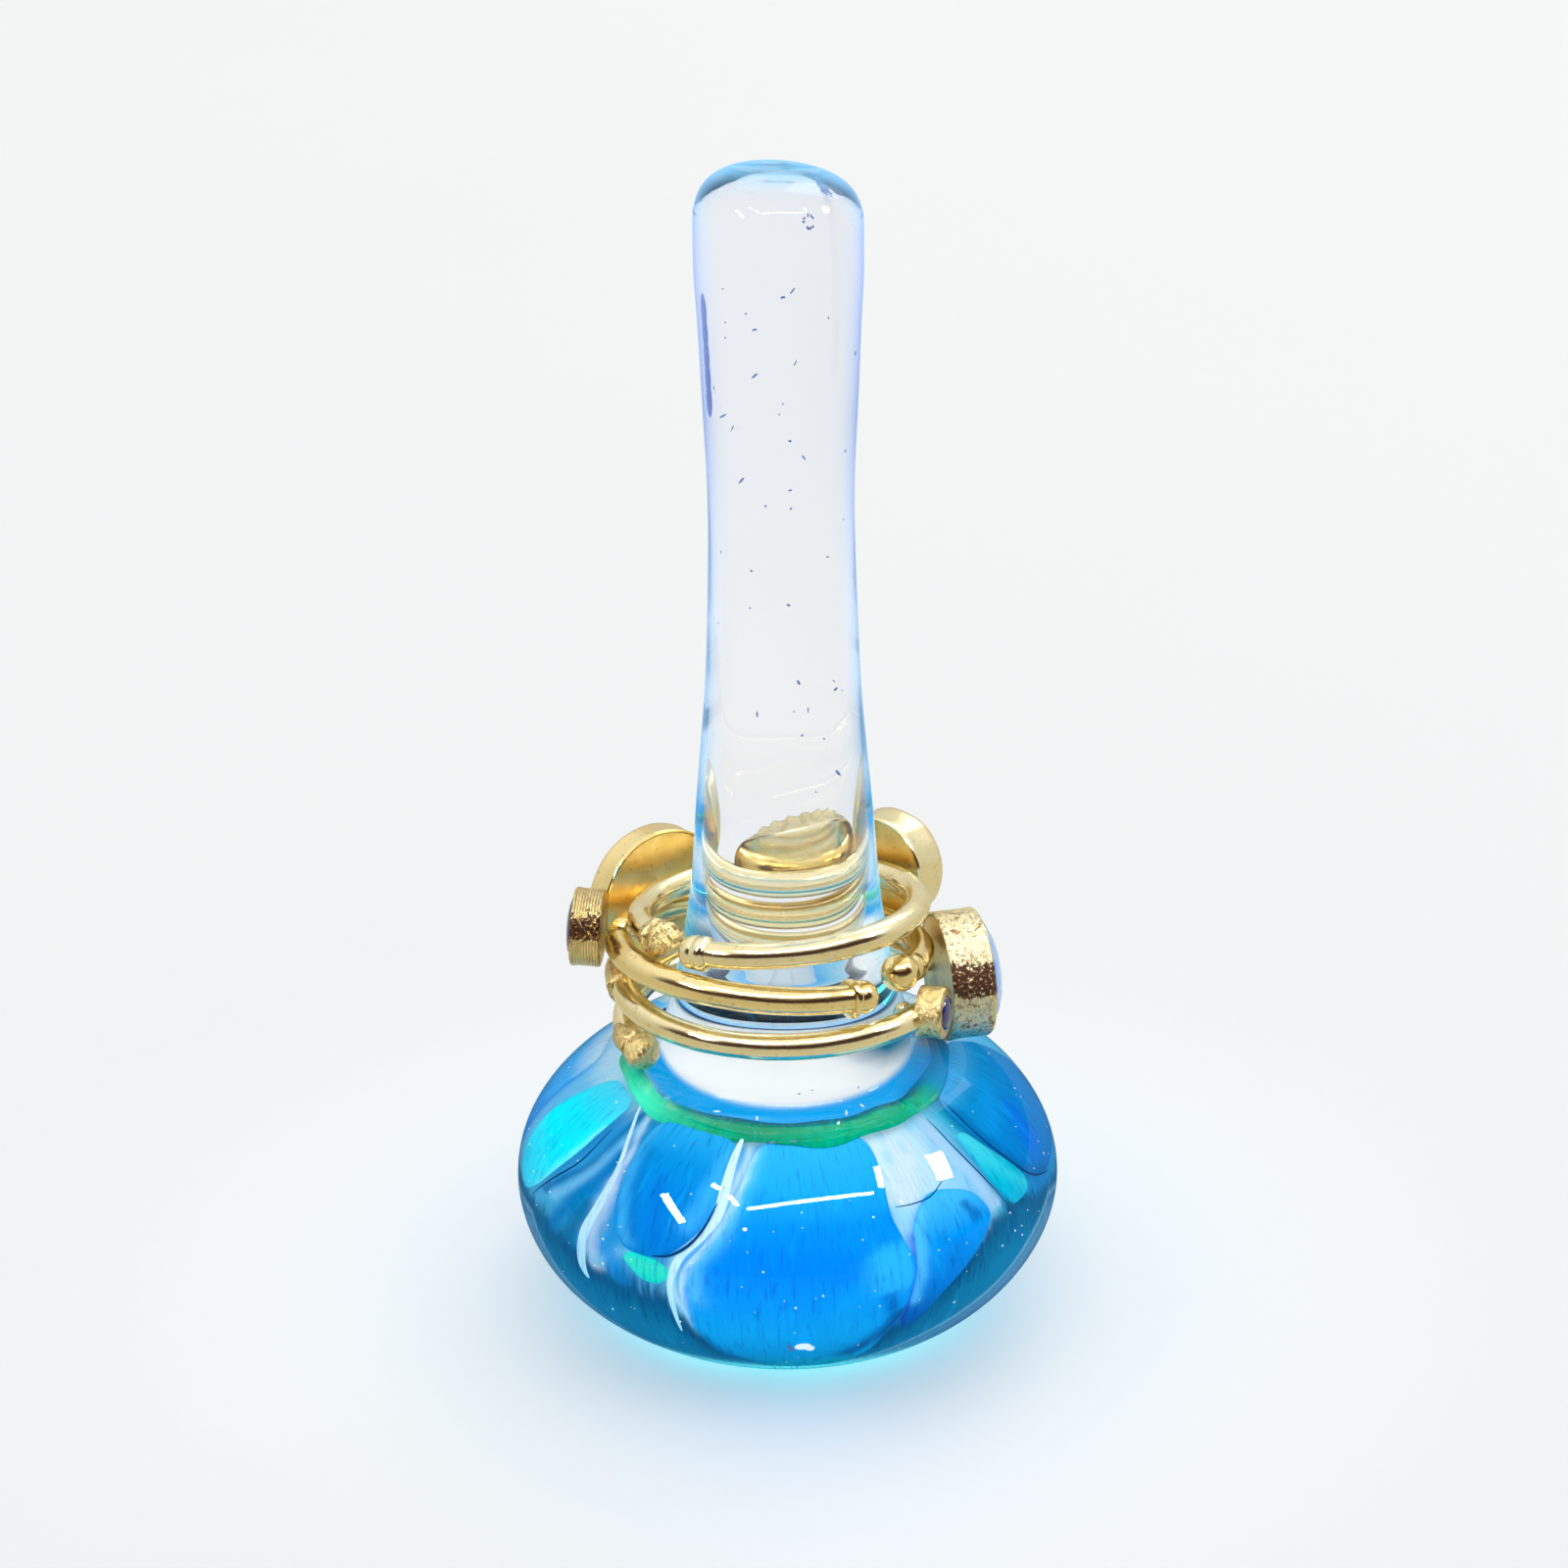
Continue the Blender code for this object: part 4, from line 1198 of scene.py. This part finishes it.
def build_moonstone(ring, matrix, girdle, base, depth):
    """A domed stone cut with rows of staggered facets round a small table."""
    name = ring.name + "_moonstone"
    bm = bmesh.new()
    grid = []
    for offset, share, height in (
        (0.0, 0.34, depth + 1.0), (0.5, 0.68, depth + 0.8), (0.0, 0.90, depth + 0.4), (0.5, 1.0, depth - 0.05),
        (0.5, 1.0, base),
    ):
        turns = [turn + math.tau * offset / FACETS for turn in circle(FACETS)]
        grid.append([bm.verts.new(matrix @ (polar(girdle * share, turn, height) * MM)) for turn in turns])
    bm.faces.new(grid[0])
    for shift, upper, lower in zip((False, True, False), grid, grid[1:]):
        for k in range(FACETS):
            n = (k + 1) % FACETS
            bm.faces.new((upper[k], upper[n], lower[n if shift else k]))
            bm.faces.new((upper[k if shift else n], lower[n], lower[k]))
    skin(bm, grid[-2:], around=True)
    bm.faces.new(list(reversed(grid[-1])))
    mesh = finish_mesh(name, bm)
    mesh.shade_flat()
    piece(name + "_stone", mesh, STONES["moonstone"], ring.name, (name,))


def build_small_setting(ring, angle, reach, diameter, depth, rise, turn):
    """A little cup with a rolled lip and a dark domed stone."""
    matrix = facing_matrix(ring, angle, reach, rise, turn)
    radius, base, soft = diameter / 2, PLATE + GAP, 0.1
    inner = radius - WALL
    cup = [(AXIS, 0.0), (radius - soft * 2, 0.0), (radius - soft * 0.5, soft * 0.5), (radius, soft * 2)]
    cup += [(radius - 0.03, depth * share) for share in (0.3, 0.45, 0.6, 0.75)]
    cup += [(radius + 0.02, depth - soft * 3), (radius + 0.02, depth - soft), (radius - soft, depth)]
    cup += [(inner - soft, depth + soft * 0.5), (inner - soft * 1.5, depth), (inner - soft, depth - soft * 2)]
    cup += [(inner - soft, base), (AXIS, base)]
    name = ring.name + "_accent_cup"
    mesh = turned_mesh(name, cup, matrix, uneven=0.008, flutes=FLUTES if ring.name == "ring_top" else 0)
    finish = {"ring_middle": "knurled", "ring_bottom": "rough"}.get(ring.name)
    gold_piece(name, "_setting", mesh, ring, finish)
    girdle, rise = inner - 0.12, 0.42
    turns = [math.radians(angle) for angle in range(15, 91, 15)]
    dome = [(AXIS, depth + rise)] + [(girdle * math.sin(turn), depth + rise * math.cos(turn)) for turn in turns]
    dome += [(girdle, PLATE + GAP * 1.2), (AXIS, PLATE + GAP * 1.2)]
    name = ring.name + "_sapphire"
    mesh = turned_mesh(name, dome, matrix, steps=48)
    piece(name + "_stone", mesh, STONES["sapphire"], ring.name, (name,))


def build_rings():
    for name, ends in WIRES.items():
        build_wire(name, *ends)
    for name, ball in BALLS.items():
        build_ball(name, *ball)
    for ring in FRAMES:
        build_solder(ring, *SOLDER[ring.name])
        build_large_setting(ring, *LARGE_SETTINGS[ring.name])
        build_small_setting(ring, *SMALL_SETTINGS[ring.name])


# ---------------------------------------------------------------- stage


CAMERA_PLACE, CAMERA_TARGET = Vector((0, -0.2722, 0.1649)), Vector((0, 0, 0.03875))
CAMERA_ANGLE, CAMERA_ROLL = math.radians(19.99), math.radians(-0.56)
FLOOR_HALF_SIZE, FLOOR_DROP = 4.0, 0.05 * MM
LAMP_TARGET = Vector((0, 0, 0.015))
# Lamps seen only as reflections: name, place, size, brightness and the line they lie along.
TUBES = [
    ("overhead_tube", (0.09, -0.36, 0.67), (0.62, 0.030), 34, (0.592, 0.161, 0.003)),
    ("overhead_tube_end", (0.383, -0.156, 0.702), (0.17, 0.030), 34, (0.057, -0.153, -0.064)),
    ("left_strip", (-0.54, -0.31, 0.52), (0.26, 0.050), 40, (0.032, -0.238, -0.106)),
    ("left_dash", (-0.326, -0.239, 0.713), (0.060, 0.030), 40, (0.026, -0.052, -0.005)),
    ("middle_dash", (-0.266, -0.36, 0.689), (0.105, 0.026), 40, (0.037, -0.099, -0.040)),
    ("window", (0.59, 0.03, 0.55), (0.20, 0.10), 34, (0.116, -0.15, -0.113)),
]


def aimed(place, along):
    """A matrix at a place, facing the glass's middle, with its X along a line."""
    back = (Vector(place) - LAMP_TARGET).normalized()
    across = Vector(along)
    across = (across - back * across.dot(back)).normalized()
    axes = Matrix((across, back.cross(across), back)).transposed().to_4x4()
    return Matrix.Translation(place) @ axes


def area_lamp(name, place, size, radiance, along=(1, 0, 0), colour=(1, 1, 1)):
    """A rectangular lamp of a given brightness, unseen by the camera itself."""
    data = bpy.data.lights.new(name, "AREA")
    data.shape = "RECTANGLE"
    data.size, data.size_y = size
    data.energy = radiance * math.pi * size[0] * size[1]
    data.color = colour
    lamp = in_scene(name, data)
    lamp.visible_camera = False
    lamp.matrix_world = aimed(place, along)
    return lamp


def build_lights():
    """Thin lamps that show as lines in the glass, and a soft one behind it."""
    for lamp in TUBES:
        area_lamp(*lamp).visible_diffuse = False
    area_lamp("back_softbox", (0.30, 0.55, 0.55), (0.45, 0.35), 1.0, colour=(1.0, 0.98, 0.96))


def build_world():
    """An even white room; metal mirrors a dark band before it, and glass a dim blue one."""
    world = bpy.data.worlds.new("studio")
    shader = Shader.of_world(world)
    _, side, up = shader.parts(shader.add("ShaderNodeTexCoord").outputs["Generated"])
    band = shader.times(shader.band(up, 0.02, 0.20), shader.band(up, 0.80, 0.58))
    band = shader.times(band, shader.band(side, 0.05, -0.25))
    room = shader.mix(shader.band(up, 0.10, 0.85), (0.74, 0.73, 0.64, 1.0), (1.12, 1.12, 1.08, 1.0))
    for_metal = shader.mix(band, room, (0.050, 0.022, 0.016, 1.0))
    for_glass = shader.mix(shader.band(up, 0.0, 0.9), (0.010, 0.085, 0.17, 1.0), (0.03, 0.14, 0.26, 1.0))
    seen = shader.mix(mirrored_in_metal(shader), (0.985, 0.996, 1.0, 1.0), for_metal)
    seen = shader.mix(mirrored_in_glass(shader), seen, for_glass)
    background = world.node_tree.nodes["Background"]
    shader.put(background.inputs["Color"], seen)
    shader.put(background.inputs["Strength"], ROOM_LIGHT)
    bpy.context.scene.world = world


def build_stage():
    """The white floor, just under the foot, and the room."""
    mesh = bpy.data.meshes.new("floor")
    bm = bmesh.new()
    bmesh.ops.create_grid(bm, x_segments=8, y_segments=8, size=FLOOR_HALF_SIZE)
    bm.to_mesh(mesh)
    bm.free()
    mesh.materials.append(pale_floor())
    floor = in_scene("floor", mesh)
    floor.location.z = -FLOOR_DROP
    build_world()


def build_camera():
    """30 cm off, looking 24.9 degrees down, rolled a little."""
    data = bpy.data.cameras.new("camera")
    data.sensor_fit = "HORIZONTAL"
    data.angle = CAMERA_ANGLE
    data.clip_start = 0.01
    camera = in_scene("camera", data)
    turn = (CAMERA_TARGET - CAMERA_PLACE).to_track_quat("-Z", "Y").to_matrix().to_4x4()
    camera.matrix_world = Matrix.Translation(CAMERA_PLACE) @ turn @ Matrix.Rotation(CAMERA_ROLL, 4, "Z")
    bpy.context.scene.camera = camera
    bpy.context.scene.view_settings.view_transform = "Standard"


FRAMES = [RingFrame(name) for name in RINGS]
PALE, PALE_DEEP = (0.93, 0.83, 0.54, 1.0), (0.86, 0.72, 0.40, 1.0)
WARM, WARM_DEEP = (0.93, 0.76, 0.39, 1.0), (0.82, 0.61, 0.25, 1.0)
GOLDS = {
    "pale": gold("pale_gold_metal", PALE, PALE_DEEP),
    "warm": gold("warm_gold_metal", WARM, WARM_DEEP),
    "satin": gold("satin_gold_metal", (0.90, 0.68, 0.26, 1.0), (0.72, 0.46, 0.12, 1.0), brushed=0.9, rough_from=0.24),
    # A darker copy of the satin gold: painted shade for the bottom ring's back plate, which faces down.
    "shaded": gold("shaded_gold_metal", WARM_DEEP, (0.42, 0.24, 0.08, 1.0), brushed=0.9, rough_from=0.24),
    "knurled": gold("warm_gold_knurled", WARM, WARM_DEEP, brushed=0.8, hammered=1.0, knurl=1.6,
                    dark_band=(29.1 * MM, 30.7 * MM)),
    "hammered": gold("pale_gold_hammered", PALE, PALE_DEEP, brushed=0.6, hammered=2.6, dark_band=(24.9 * MM, 27.0 * MM)),
    "rough": gold("warm_gold_rough", WARM, WARM_DEEP, brushed=0.5, hammered=2.2),
}
STONES = {"moonstone": moonstone(), "sapphire": sapphire()}

build_glass_body()
build_petals()
build_gather()
build_green_band()
build_specks()
build_seams()
build_rings()
build_lights()
build_stage()
build_camera()
